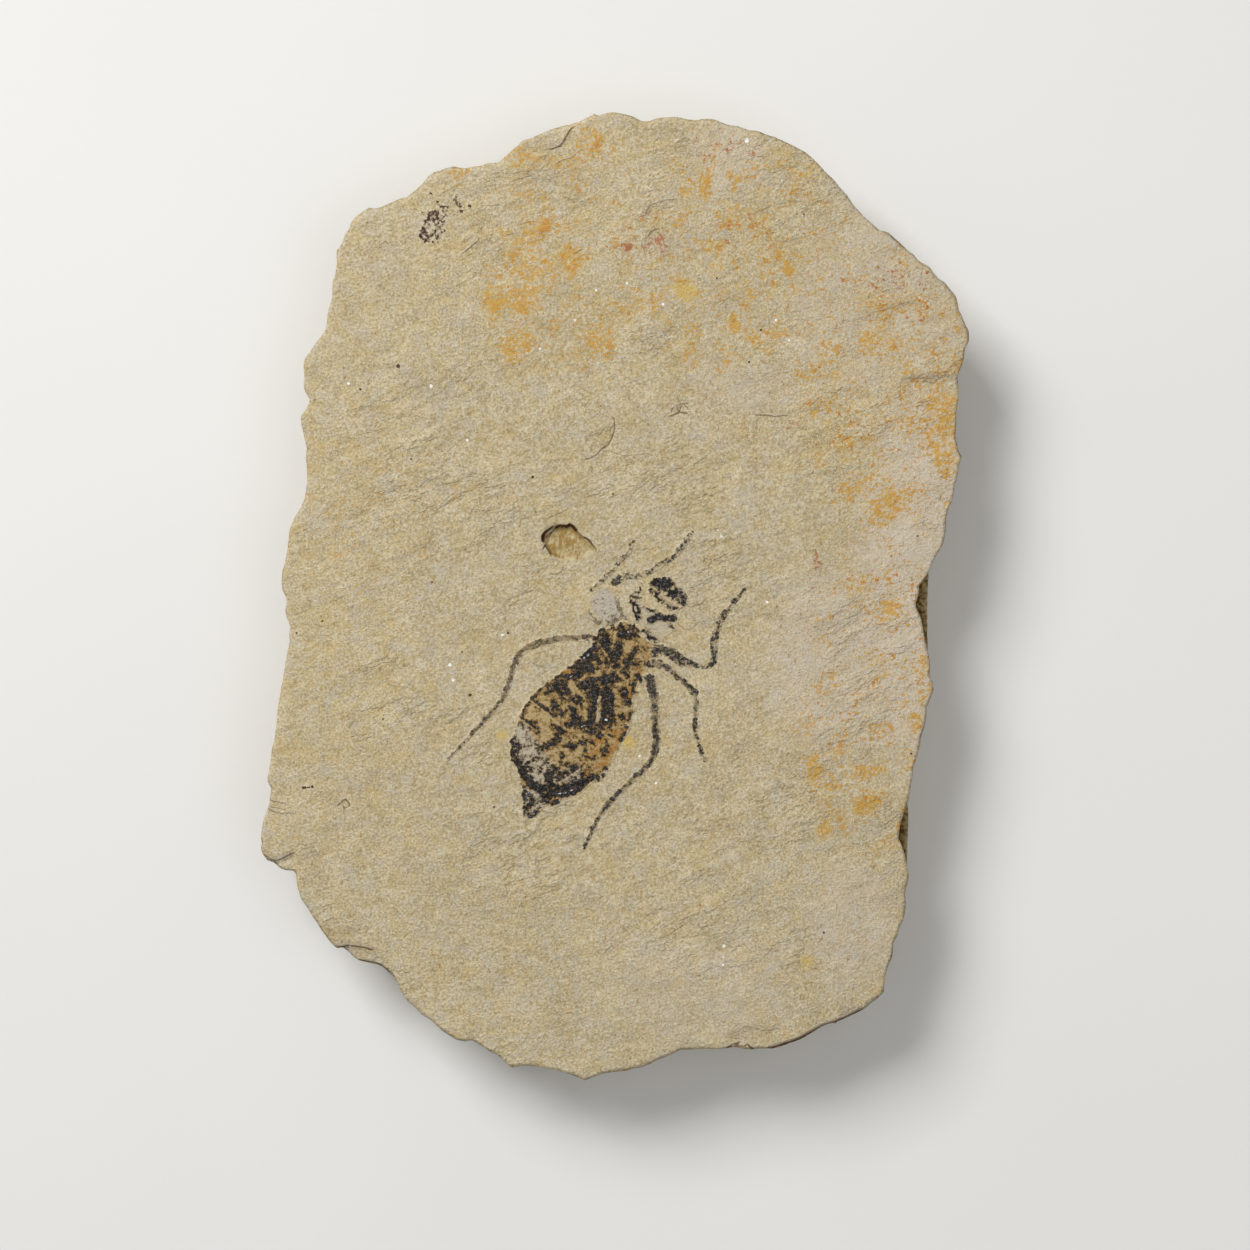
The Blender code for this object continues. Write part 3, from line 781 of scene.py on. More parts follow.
def lattice_value(column: Array, row: Array, level: Array, seed: int) -> Array:
    """A repeatable value from -1 to 1 for each whole lattice point, by mixing the bits of its numbers.

    Args:
        column, row, level: the point's numbers.
        seed: which noise of many.

    Returns:
        The values.
    """
    first, second, third, fourth = LATTICE_PRIMES
    mixed = (column * first) ^ (row * second) ^ (level * third) ^ (seed * fourth)
    mixed = mixed & LOW_BITS
    mixed = ((mixed ^ (mixed >> 13)) * SCRAMBLERS[0]) & LOW_BITS
    mixed = ((mixed ^ (mixed >> 15)) * SCRAMBLERS[1]) & LOW_BITS
    return ((mixed ^ (mixed >> 16)) & 0xFFFF) / 32767.5 - 1.0


def noise(x: Array, y: Array, z: Union[Array, float], seed: int) -> Array:
    """Smooth noise from -1 to 1, at places given in units of its wavelength. The seed says which of many.

    It is the values of a cell's eight lattice points, joined by S curves.

    Args:
        x, y, z: places in units of the wavelength.
        seed: which noise of many.

    Returns:
        The noise at each place.
    """
    axes = np.broadcast_arrays(x, y, z)
    whole = [np.floor(axis).astype(np.int64) for axis in axes]
    ease = [smooth_step(axis - low) for axis, low in zip(axes, whole)]
    total = np.zeros(axes[0].shape)
    for corner in range(8):
        steps = (corner & 1, (corner >> 1) & 1, corner >> 2)
        weight = np.ones(axes[0].shape)
        for step, share in zip(steps, ease):
            weight = weight * (share if step else 1 - share)
        total += weight * lattice_value(*(low + step for low, step in zip(whole, steps)), seed)
    return total


def layered_noise(x: Array, y: Array, wavelength: float, layers: int, seed: int) -> Array:
    """Noise with finer noise on it: each layer has half the wavelength and half the height.

    Args:
        x, y: places, in metres.
        wavelength: that of the first layer, in metres.
        layers: how many.
        seed: which noise of many.

    Returns:
        The noise at each place.
    """
    total = np.zeros(np.shape(x))
    for layer in range(layers):
        scale = 2**layer / wavelength
        total += noise(x * scale, y * scale, 0.0, seed + layer) / 2**layer
    return total


@dataclass
class Mark:
    """One mark on the plate: a line with half a width, or a filled outline if that is 0."""

    line: Array
    half_width: float

    def depth(self, x: Array, y: Array) -> Array:
        """How deep inside the mark each point lies, in metres, and below 0 outside it.

        Args:
            x, y: places, in metres.

        Returns:
            The depths.
        """
        if self.half_width == 0:
            return polygon_depth(x, y, self.line)
        if len(self.line) == 1:
            return self.half_width - np.hypot(x - self.line[0, 0], y - self.line[0, 1])
        nearest = np.full(np.shape(x), np.inf)
        for start, end in zip(self.line[:-1], self.line[1:]):
            nearest = np.minimum(nearest, segment_distance(x, y, start, end)[0])
        return self.half_width - nearest


def read_marks(text: str) -> list[Mark]:
    """Reads one mark a line: its width in pixels, then its points."""
    rows = [row.split(" ", 1) for row in text.strip().splitlines()]
    return [Mark(place(read_points(points)), float(width) * PIXEL / 2) for width, points in rows]


def marks_depth(text: str, x: Array, y: Array) -> Array:
    """How deep each point lies in the nearest of a text's marks, in metres.

    Args:
        text: the marks.
        x, y: places, in metres.

    Returns:
        The depths.
    """
    deepest = np.full(np.shape(x), -1.0)
    for mark in read_marks(text):
        deepest = np.maximum(deepest, mark.depth(x, y))
    return deepest


def segment_distance(x: Array, y: Array, start: Array, end: Array) -> tuple[Array, Array, Array]:
    """Distance to a straight segment.

    Args:
        x, y: the places.
        start, end: the two ends of the segment.

    Returns:
        The distance, the signed distance to its line (positive on the left), and the share of the way
        along it, which isn't clipped.
    """
    edge = end - start
    length = np.hypot(*edge)
    share = ((x - start[0]) * edge[0] + (y - start[1]) * edge[1]) / length**2
    held = np.clip(share, 0, 1)
    distance = np.hypot(x - start[0] - held * edge[0], y - start[1] - held * edge[1])
    side = ((y - start[1]) * edge[0] - (x - start[0]) * edge[1]) / length
    return distance, side, share


def polygon_depth(x: Array, y: Array, outline: Array) -> Array:
    """Distance to a closed outline, positive inside it.

    A place is inside where a ray to its right crosses the outline an odd number of times.

    Args:
        x, y: places, in metres.
        outline: its corners.

    Returns:
        The distances, in metres.
    """
    inside = np.zeros(np.shape(x), bool)
    nearest = np.full(np.shape(x), np.inf)
    for start, end in zip(outline, np.roll(outline, -1, axis=0)):
        nearest = np.minimum(nearest, segment_distance(x, y, start, end)[0])
        rise = end[1] - start[1]
        if rise == 0:
            continue
        crossing = start[0] + (end[0] - start[0]) * (y - start[1]) / rise
        inside ^= ((start[1] > y) != (end[1] > y)) & (x < crossing)
    return np.where(inside, nearest, -nearest)


def way_between(x: Array, y: Array, start: Array, end: Array) -> Array:
    """Share of the way from one point to another, measured along the line between them."""
    slope = end - start
    return ((x - start[0]) * slope[0] + (y - start[1]) * slope[1]) / (slope @ slope)


def direction(away: Array) -> Array:
    """Direction of each of a row of offsets, from 0 to a full turn."""
    return np.arctan2(away[..., 1], away[..., 0]) % FULL_TURN


def along(points: Array, shares: Array) -> Array:
    """Points at even shares of the way along a line of points, in all its columns.

    Args:
        points: the line.
        shares: from 0 to 1.

    Returns:
        A row for each share.
    """
    steps = np.linalg.norm(np.diff(points[:, :2], axis=0), axis=1)
    way = np.concatenate([[0], np.cumsum(steps)]) / steps.sum()
    return np.column_stack([np.interp(shares, way, column) for column in points.T])


def faces_from(*corners: Array) -> list[list[int]]:
    """Faces from the numbers of their first corners, their second ones and so on."""
    return np.stack(corners, axis=-1).reshape(-1, len(corners)).tolist()


def nearest_row(choices: Iterable[tuple[Array, Array]], count: int, reach: float) -> Array:
    """For each of the places the row of the nearest of several things, or zeros where none is within reach.

    Args:
        choices: the distance to each thing and its row of three numbers, at every place.
        count: how many places there are.
        reach: the farthest that counts.

    Returns:
        A row for each place.
    """
    found, nearest = np.zeros((count, 3)), np.full(count, reach)
    for distance, row in choices:
        closer = distance < nearest
        nearest = np.where(closer, distance, nearest)
        found = np.where(closer[:, None], row, found)
    return found


def rounded(points: Array, passes: int = 2) -> Array:
    """A line with its corners cut, at a quarter and three quarters of each piece, once for each pass.

    Args:
        points: the line.
        passes: how often the corners are cut.

    Returns:
        The rounder line.
    """
    for _ in range(passes):
        early = points[:-1] * 0.75 + points[1:] * 0.25
        late = points[:-1] * 0.25 + points[1:] * 0.75
        inner = np.stack([early, late], axis=1).reshape(-1, points.shape[1])
        points = np.concatenate([points[:1], inner, points[-1:]])
    return points


def extended(points: Array, distance: float) -> Array:
    """A line made longer by a distance at both of its ends.

    Args:
        points: the line.
        distance: how much, in metres.

    Returns:
        The longer line.
    """
    first, last = points[0].copy(), points[-1].copy()
    start = points[0, :2] - points[1, :2]
    end = points[-1, :2] - points[-2, :2]
    first[:2] += start / np.linalg.norm(start) * distance
    last[:2] += end / np.linalg.norm(end) * distance
    return np.concatenate([[first], points, [last]])


def make_object(
    name: str, corners: Array, faces: list, attributes: dict[str, Array], smooth: Optional[Array] = None
) -> bpy.types.Object:
    """Makes an object at the origin.

    Args:
        name: the piece's name.
        corners: places of the corners, in metres.
        faces: the corner numbers of each face, counted anticlockwise from outside.
        attributes: a vector for each corner, by name.
        smooth: which faces are shaded smooth. All of them if it is left out.

    Returns:
        The new object.
    """
    mesh = bpy.data.meshes.new(name)
    mesh.from_pydata(corners.tolist(), [], faces)
    for title, values in attributes.items():
        made = mesh.attributes.new(title, "FLOAT_VECTOR", "POINT")
        made.data.foreach_set("vector", values.astype(np.float32).ravel())
    flags = np.ones(len(mesh.polygons), bool) if smooth is None else smooth
    mesh.polygons.foreach_set("use_smooth", flags)
    mesh.update()
    thing = bpy.data.objects.new(name, mesh)
    bpy.context.scene.collection.objects.link(thing)
    return thing


def math_method(operation: str, swapped: bool = False) -> Callable[..., "Wire"]:
    """A method that adds one Math node, with the wire's own value first, or last if it is swapped.

    Args:
        operation: the node's operation.
        swapped: whether the own value is last.

    Returns:
        The method.
    """

    def method(wire: "Wire", *others: "Value") -> "Wire":
        """Adds the Math node."""
        values = (*others, wire) if swapped else (wire, *others)
        return wire.graph.math(operation, *values)

    return method


class Wire:
    """A value in a material's graph. Arithmetic on it adds Math nodes."""

    __add__ = __radd__ = math_method("ADD")
    __sub__ = math_method("SUBTRACT")
    __rsub__ = math_method("SUBTRACT", swapped=True)
    __mul__ = __rmul__ = math_method("MULTIPLY")
    __truediv__ = math_method("DIVIDE")
    __abs__ = math_method("ABSOLUTE")
    most = math_method("MAXIMUM")
    least = math_method("MINIMUM")

    def __init__(self, graph: "Graph", socket: bpy.types.NodeSocket) -> None:
        """Wraps one output socket of the graph."""
        self.graph = graph
        self.socket = socket

    def step(self, low: float, high: float) -> "Wire":
        """0 at low and 1 at high, with an even S between them. Low may be above high."""
        inputs = {0: self, 1: low, 2: high, 3: 0.0, 4: 1.0}
        return self.graph.node("ShaderNodeMapRange", {"interpolation_type": "SMOOTHSTEP"}, inputs)

    def patch(self, limits: Triple) -> "Wire":
        """A step between the first two numbers that reaches the third."""
        return self.step(*limits[:2]) * limits[2]


Value = Union[Wire, float]


@dataclass(frozen=True)
class Pattern:
    """Noise in a finish: its frequency per millimetre, its layers and roughness, and how it lies.

    The shift, in millimetres, keeps one pattern from repeating another. Then the place is turned about Z by
    the degrees and divided by the stretch, which draws the pattern out.
    """

    frequency: float
    layers: float
    roughness: float
    shift: Optional[Triple] = None
    degrees: float = 0.0
    stretch: Optional[Triple] = None


@dataclass(frozen=True)
class Scatter:
    """Grains at some of many scattered points.

    A grain fades between the two distances of its rim, in shares of the points' spacing, and only points
    whose random number is past the choice have one.
    """

    frequency: float
    rim: Pair
    choice: Pair
    strength: float
    shift: Optional[Triple] = None


class Graph:
    """A material and its nodes, with the colour and the relief in millimetres that it has so far."""

    def __init__(self, name: str) -> None:
        """Starts a material with a Principled shader.

        Args:
            name: the material's name.
        """
        self.material = bpy.data.materials.new(name)
        self.material.use_nodes = True
        self.tree = self.material.node_tree
        self.shader = self.tree.nodes["Principled BSDF"]
        self.colour: Union[Wire, Colour, None] = None
        self.height: Optional[Wire] = None

    def node(self, kind: str, settings: dict, inputs: dict, output: Union[int, str] = 0) -> Wire:
        """Makes a node and returns one of its outputs.

        Args:
            kind: the node's type.
            settings: its settings, which are set first. "stops" are a ramp's places and colours.
            inputs: a value or a wire for each socket, by name or number.
            output: which output to return.

        Returns:
            The output as a wire.
        """
        made = self.tree.nodes.new(kind)
        for key, value in settings.items():
            if key == "stops":
                self.set_stops(made.color_ramp, value)
            else:
                setattr(made, key, value)
        self.feed(made, inputs)
        return Wire(self, made.outputs[output])

    def feed(self, made: bpy.types.Node, inputs: dict) -> None:
        """Gives a node's sockets their values or wires.

        Args:
            made: the node.
            inputs: a value or a wire by a socket's name or number.
        """
        for key, value in inputs.items():
            if isinstance(value, Wire):
                self.tree.links.new(value.socket, made.inputs[key])
            else:
                made.inputs[key].default_value = value

    @staticmethod
    def set_stops(ramp: bpy.types.ColorRamp, stops: list) -> None:
        """Gives a ramp its stops, each a place and a colour.

        Args:
            ramp: the ramp.
            stops: places from 0 to 1 with colours.
        """
        while len(ramp.elements) < len(stops):
            ramp.elements.new(1.0)
        for element, (position, colour) in zip(ramp.elements, stops):
            element.position = position
            element.color = colour

    def math(self, operation: str, *values: Value) -> Wire:
        """One Math node."""
        return self.node("ShaderNodeMath", {"operation": operation}, dict(enumerate(values)))

    def other(self, wire: Wire, output: Union[int, str]) -> Wire:
        """Another output of the node that a wire comes from."""
        return Wire(self, wire.socket.node.outputs[output])

    def millimetres(self) -> Wire:
        """The place on the object, in millimetres."""
        metres = self.node("ShaderNodeTexCoord", {}, {}, "Object")
        return self.node("ShaderNodeVectorMath", {"operation": "SCALE"}, {0: metres, "Scale": 1 / MM})

    def moved(self, vector: Wire, shift: Optional[Triple]) -> Wire:
        """The place, moved by a shift if there is one.

        Args:
            vector: the place, in millimetres.
            shift: how far, in millimetres.

        Returns:
            The moved place.
        """
        if shift is None:
            return vector
        return self.node("ShaderNodeVectorMath", {"operation": "ADD"}, {0: vector, 1: shift})

    def noise(self, vector: Wire, pattern: Pattern) -> Wire:
        """A pattern's noise, from about 0.2 to 0.8.

        Args:
            vector: the place, in millimetres.
            pattern: the noise.

        Returns:
            Its value.
        """
        vector = self.moved(vector, pattern.shift)
        if pattern.stretch:
            turn = (0.0, 0.0, radians(pattern.degrees))
            inputs = {"Vector": vector, "Rotation": turn, "Scale": pattern.stretch}
            vector = self.node("ShaderNodeMapping", {"vector_type": "TEXTURE"}, inputs)
        inputs = {"Vector": vector, "Scale": pattern.frequency, "Detail": pattern.layers,
                  "Roughness": pattern.roughness}
        return self.node("ShaderNodeTexNoise", {}, inputs)

    def swing(self, vector: Wire, pattern: Pattern) -> Wire:
        """A pattern's noise about 0, from about -0.3 to 0.3."""
        return self.noise(vector, pattern) - 0.5

    def scatter(self, vector: Wire, grains: Scatter) -> Wire:
        """How strongly scattered grains show, from the distance and the number of the nearest point.

        Args:
            vector: the place, in millimetres.
            grains: how they are scattered.

        Returns:
            The strength, from 0 to 1.
        """
        inputs = {"Vector": self.moved(vector, grains.shift), "Scale": grains.frequency}
        distance = self.node("ShaderNodeTexVoronoi", {}, inputs)
        number = self.parts(self.other(distance, "Color"))[0]
        return distance.step(*grains.rim) * number.step(*grains.choice) * grains.strength

    def parts(self, vector: Wire) -> tuple[Wire, Wire, Wire]:
        """The three numbers of a vector or a colour."""
        first = self.node("ShaderNodeSeparateXYZ", {}, {0: vector})
        return first, self.other(first, 1), self.other(first, 2)

    def attribute(self, name: str) -> tuple[Wire, Wire, Wire]:
        """The three numbers of a vector attribute of the mesh."""
        return self.parts(self.node("ShaderNodeAttribute", {"attribute_name": name}, {}, "Vector"))

    def mix(self, share: Value, first: Union[Wire, tuple], second: Union[Wire, tuple]) -> Wire:
        """A colour between two colours."""
        return self.node("ShaderNodeMix", {"data_type": "RGBA"}, {0: share, 6: first, 7: second}, 2)

    def ramp(self, value: Wire, stops: list) -> Wire:
        """A colour from a value, by a ramp."""
        return self.node("ShaderNodeValToRGB", {"stops": stops}, {0: value})

    def paint(self, share: Value, colour: Union[Wire, Colour]) -> None:
        """Lays a share of a colour over the colour so far."""
        self.colour = self.mix(share, self.colour, colour)

    def finish(self, roughness: Value, shine: float = 0.5) -> bpy.types.Material:
        """Wires the colour, roughness, relief and shine to the shader. A shine of 0.5 is usual.

        Args:
            roughness: a number or a wire.
            shine: how much it reflects all over.

        Returns:
            The material.
        """
        bump = self.node("ShaderNodeBump", {}, {"Strength": 1.0, "Distance": MM, "Height": self.height})
        self.feed(self.shader, {
            "Base Color": self.colour, "Roughness": roughness, "Normal": bump, "Specular IOR Level": shine,
        })
        return self.material


@dataclass(frozen=True)
class MarlFinish:
    """Sandy beige marl: fine grain, streaks along the bedding, patches, stains, cracks and loose grains.

    A patch sets in between its first two numbers and reaches the third. An edge is a pair of numbers between
    which something sets in. Lengths and reliefs are in millimetres.
    """

    roughness: float = 0.92
    shine: float = 0.2
    shadow: Colour = srgb(128, 111, 79)
    dull: Colour = srgb(169, 153, 118)
    middle: Colour = srgb(187, 172, 138)
    bright: Colour = srgb(205, 192, 161)
    white: Colour = srgb(226, 217, 197)
    grey: Colour = srgb(186, 177, 162)
    straw: Colour = srgb(197, 172, 118)
    orange: Colour = srgb(195, 153, 73)
    rust: Colour = srgb(186, 130, 60)
    halo: Colour = srgb(195, 167, 118)
    red: Colour = srgb(162, 95, 68)
    yellow: Colour = srgb(202, 172, 92)
    lilac: Colour = srgb(205, 193, 178)
    crack: Colour = srgb(96, 66, 30)
    olive: Colour = srgb(146, 122, 70)
    umber: Colour = srgb(94, 66, 24)
    brown: Colour = srgb(60, 31, 6)
    ochre: Colour = srgb(162, 135, 72)
    amber: Colour = srgb(146, 108, 36)
    cream: Colour = srgb(204, 190, 152)
    speck: Colour = srgb(52, 40, 28)
    crystal: Colour = srgb(246, 246, 244)

    # Bare stone: clouds, streaks along the bedding and grain, with each one's share of tone and relief
    clouds: Pattern = Pattern(0.3, 6, 0.72, shift=(31, 7, 3))
    streaks: Pattern = Pattern(1.6, 3, 0.7, degrees=12.0, stretch=(2.4, 1, 1))
    grain: Pattern = Pattern(4.6, 2, 0.75)
    tone_shares: Triple = (0.45, 0.4, 1.4)
    relief_shares: Triple = (0.18, 0.1, 0.12)
    tone_stops: tuple = (0.0, 0.34, 0.5, 0.66, 1.0)
    hue: Pattern = Pattern(0.5, 8, 0.9, shift=(5, 61, 2))
    grey_patch: Triple = (0.0, 0.12, 0.65)
    straw_patch: Triple = (0.01, -0.11, 0.5)
    dark_grains: Scatter = Scatter(1.3, (0.09, 0.04), (0.95, 0.96), 0.75)
    white_grains: Scatter = Scatter(1.9, (0.13, 0.05), (0.88, 1.0), 0.9, shift=(17, 3, 9))

    # Creases: the level that draws them, where they are, and each one's place in the level, softness, drop
    # and line
    crease_level: Pattern = Pattern(0.22, 5, 0.62, degrees=22.0, stretch=(2.2, 1, 1))
    crease_places: Pattern = Pattern(0.12, 2, 0.5, shift=(77, 20, 4))
    crease_edge: Pair = (0.46, 0.62)
    crease_swell: float = 0.8
    crease_steps: tuple = ((0.0, 0.012, 0.035, 0.006), (0.09, 0.01, 0.03, 0.005))
    crease_shadow: float = 0.4

    # Stains: two sizes of blots, clumps of them, and how they break each colour
    blots: Pattern = Pattern(3.0, 4, 0.72, shift=(2, 13, 71))
    broad_blots: Pattern = Pattern(1.0, 7, 0.78, shift=(47, 5, 6))
    clumps: Pattern = Pattern(0.4, 2, 0.5, shift=(12, 90, 4))
    blot_shares: Pair = (0.8, 0.9)
    rust_edge: Pair = (0.0, 0.16)
    yellow_shares: Pair = (1.6, 0.42)
    yellow_patch: Triple = (0.15, 0.8, 0.8)
    pale_edge: Pair = (0.0, -1.0)
    pale_share: float = 0.5
    pale_break: float = 2.0
    halo_patch: Triple = (0.4, 1.1, 0.16)
    clump_share: float = 2.4
    lace_growth: float = 0.17
    lace_break: float = 0.5
    lace_edge: Pair = (0.12, 0.2)
    lace_share: float = 0.92
    red_growth: float = 0.2
    red_edge: Pair = (0.17, 0.29)
    red_share: float = 0.78
    stain_edge: Pair = (0.0, 0.3)

    # Cracks, and the listed grains
    wobble: Pattern = Pattern(2.6, 2, 0.5)
    crack_wander: float = 0.14
    thinnest_crack: float = 0.001
    crack_edge: Pair = (1.4, 0.6)
    crack_drop: float = 0.03
    lip_edges: tuple = (0.0, 0.06, 0.26, 0.1)
    lip_share: float = 0.35
    grain_edge: Pair = (0.03, -0.03)
    real_grain: Pair = (0.01, 0.02)
    white_edge: Pair = (-0.001, -0.002)
    grain_share: float = 0.92

    # Broken side
    beds: Pattern = Pattern(1.0, 4, 0.6, stretch=(2.5, 2.5, 0.22))
    seam_edge: Pair = (0.5, 0.34)
    seam_share: float = 0.6
    bed_relief: float = 0.25
    umber_edge: Pair = (0.5, 1.0)
    umber_break: float = 2.0
    hollow_edge: Pair = (0.26, 0.85)
    hollow_break: float = 0.5

    # Pit
    grit: Pattern = Pattern(2.6, 5, 0.75, shift=(8, 2, 0), degrees=84.0, stretch=(2.2, 1, 1))
    ochre_share: float = 0.6
    gold_growth: float = 0.13
    amber_patch: Triple = (0.08, 0.2, 0.75)
    cream_patch: Triple = (0.12, 0.24, 0.5)
    fleck_share: float = 0.8
    shade_share: float = 0.6
    rim_break: float = 0.08
    rim_patch: Triple = (-0.05, 0.05, 0.96)
    grit_relief: float = 0.12

    def stone(self, graph: Graph) -> None:
        """Gives a material the bare stone's colour and relief.

        Args:
            graph: the material.
        """
        place_mm = graph.millimetres()
        patterns = (self.clouds, self.streaks, self.grain, self.hue)
        clouds, streaks, grain, hue = (graph.swing(place_mm, pattern) for pattern in patterns)
        cloud_tone, streak_tone, grain_tone = self.tone_shares
        tone = 0.5 + clouds * cloud_tone + streaks * streak_tone + grain * grain_tone
        colours = (self.shadow, self.dull, self.middle, self.bright, self.white)
        graph.colour = graph.ramp(tone, list(zip(self.tone_stops, colours)))
        graph.paint(hue.patch(self.grey_patch), self.grey)
        graph.paint(hue.patch(self.straw_patch), self.straw)
        graph.paint(graph.scatter(place_mm, self.dark_grains), self.speck)
        graph.paint(graph.scatter(place_mm, self.white_grains), self.crystal)
        cloud_relief, streak_relief, grain_relief = self.relief_shares
        graph.height = clouds * cloud_relief + streaks * streak_relief + grain * grain_relief
        self.creases(graph, place_mm)

    def creases(self, graph: Graph, place_mm: Wire) -> None:
        """Adds low broken edges of the bedding in some places.

        Each is where stretched noise crosses a level, with the stone a little lower on one side and a painted
        shadow line along the step.

        Args:
            graph: the material.
            place_mm: the place on the object.
        """
        level = graph.swing(place_mm, self.crease_level)
        patch = graph.noise(place_mm, self.crease_places).step(*self.crease_edge)
        relief, lines = level * self.crease_swell, []
        for offset, softness, drop, width in self.crease_steps:
            near = level - offset if offset else level
            relief = relief + near.step(-softness, softness) * drop
            lines.append(abs(near).step(width, 0.0))
        graph.paint(lines[0].most(lines[1]) * patch * self.crease_shadow, self.shadow)
        graph.height = graph.height + relief * patch

    def stained(self, graph: Graph) -> None:
        """Adds the iron stains and the pale patches, broken into blots by noise.

        Args:
            graph: the material.
        """
        place_mm = graph.millimetres()
        orange, red, yellow = graph.attribute("stains")
        blots = graph.swing(place_mm, self.blots)
        broad = graph.swing(place_mm, self.broad_blots)
        ragged = blots * self.blot_shares[0] + broad * self.blot_shares[1]
        yellowed = ragged * self.yellow_shares[0] + yellow * self.yellow_shares[1]
        graph.paint(yellowed.patch(self.yellow_patch), self.yellow)
        pale = yellow.step(*self.pale_edge) * (self.pale_share + broad * self.pale_break)
        graph.paint(pale, self.lilac)
        graph.paint(orange.patch(self.halo_patch), self.halo)
        strength = (orange + graph.swing(place_mm, self.clumps) * self.clump_share) * self.lace_growth
        lace = (blots + broad * self.lace_break + strength).step(*self.lace_edge)
        lace = lace * orange.step(*self.stain_edge)
        rust = graph.mix(broad.step(*self.rust_edge), self.orange, self.rust)
        graph.paint(lace * self.lace_share, rust)
        spots = (ragged + red * self.red_growth).step(*self.red_edge) * red.step(*self.stain_edge)
        graph.paint(spots * self.red_share, self.red)

    def cracked(self, graph: Graph, wobble: Wire) -> None:
        """Adds the cracks, each a bent dark line that is partly the crack and partly painted shade of its
        step, with a painted highlight on the edge above it, and the listed grains.

        Args:
            graph: the material.
            wobble: noise that bends the lines.
        """
        side, strength, half = graph.attribute("cracks")
        bent = side + wobble * self.crack_wander
        line = (abs(bent) / half.most(self.thinnest_crack)).step(*self.crack_edge) * strength
        # Dark line: partly the crack itself and partly painted shade of its step
        graph.paint(line * (1.0 + wobble), self.crack)
        # Painted highlight on the lit edge above the step
        lip = bent.step(*self.lip_edges[:2]) * bent.step(*self.lip_edges[2:]) * strength
        graph.paint(lip * self.lip_share, self.white)
        across, up, radius = graph.attribute("grains")
        reach = graph.math("SQRT", across * across + up * up)
        size = abs(radius)
        spot = (reach - size).step(*self.grain_edge) * size.step(*self.real_grain)
        spot_colour = graph.mix(radius.step(*self.white_edge), self.speck, self.crystal)
        graph.paint(spot * self.grain_share, spot_colour)
        graph.height = graph.height - line * self.crack_drop

    def broken(self, graph: Graph, wobble: Wire) -> None:
        """Adds the side's seams, and the beds that stick out under the face: their own olive colour, with
        painted umber shade that is deepest next to the face.

        Args:
            graph: the material.
            wobble: noise that breaks the stain.
        """
        wall, hollow, _ = graph.attribute("broken")
        beds = graph.noise(graph.millimetres(), self.beds)
        graph.paint(beds.step(*self.seam_edge) * wall * self.seam_share, self.olive)
        # Painted shade of the overhang on the beds below it, darkest next to the face
        deep = (hollow + wobble * self.umber_break).step(*self.umber_edge)
        shaded_bed_colour = graph.mix(deep, self.olive, self.umber)
        graph.paint((hollow + wobble * self.hollow_break).step(*self.hollow_edge), shaded_bed_colour)
        graph.height = graph.height + beds * wall * self.bed_relief

    def pitted(self, graph: Graph) -> None:
        """Adds the pit's ochre floor with amber and cream grit, its flecks, its painted shade and its dark
        rim of painted shadow.

        Args:
            graph: the material.
        """
        rim, gold, tint = graph.attribute("pit")
        grit = graph.swing(graph.millimetres(), self.grit)
        graph.paint(gold * self.ochre_share, self.ochre)
        graph.paint((grit + gold * self.gold_growth).patch(self.amber_patch), self.amber)
        graph.paint((gold * self.gold_growth - grit).patch(self.cream_patch), self.cream)
        graph.paint(tint.most(0.0) * self.fleck_share, self.cream)
        # Painted shade on the wall, then painted shadow along the rim in dark brown
        graph.paint((tint * -1.0).most(0.0) * self.shade_share, self.olive)
        graph.paint((rim + grit * self.rim_break).patch(self.rim_patch), self.brown)
        graph.height = graph.height + grit * gold * self.grit_relief

    def build(self, name: str) -> bpy.types.Material:
        """Makes the finish of the whole stone, with its stains, cracks, named grains, broken side and pit.

        Args:
            name: the material's name.

        Returns:
            The material.
        """
        graph = Graph(name)
        wobble = graph.swing(graph.millimetres(), self.wobble)
        self.stone(graph)
        self.stained(graph)
        self.cracked(graph, wobble)
        self.broken(graph, wobble)
        self.pitted(graph)
        return graph.finish(self.roughness, self.shine)


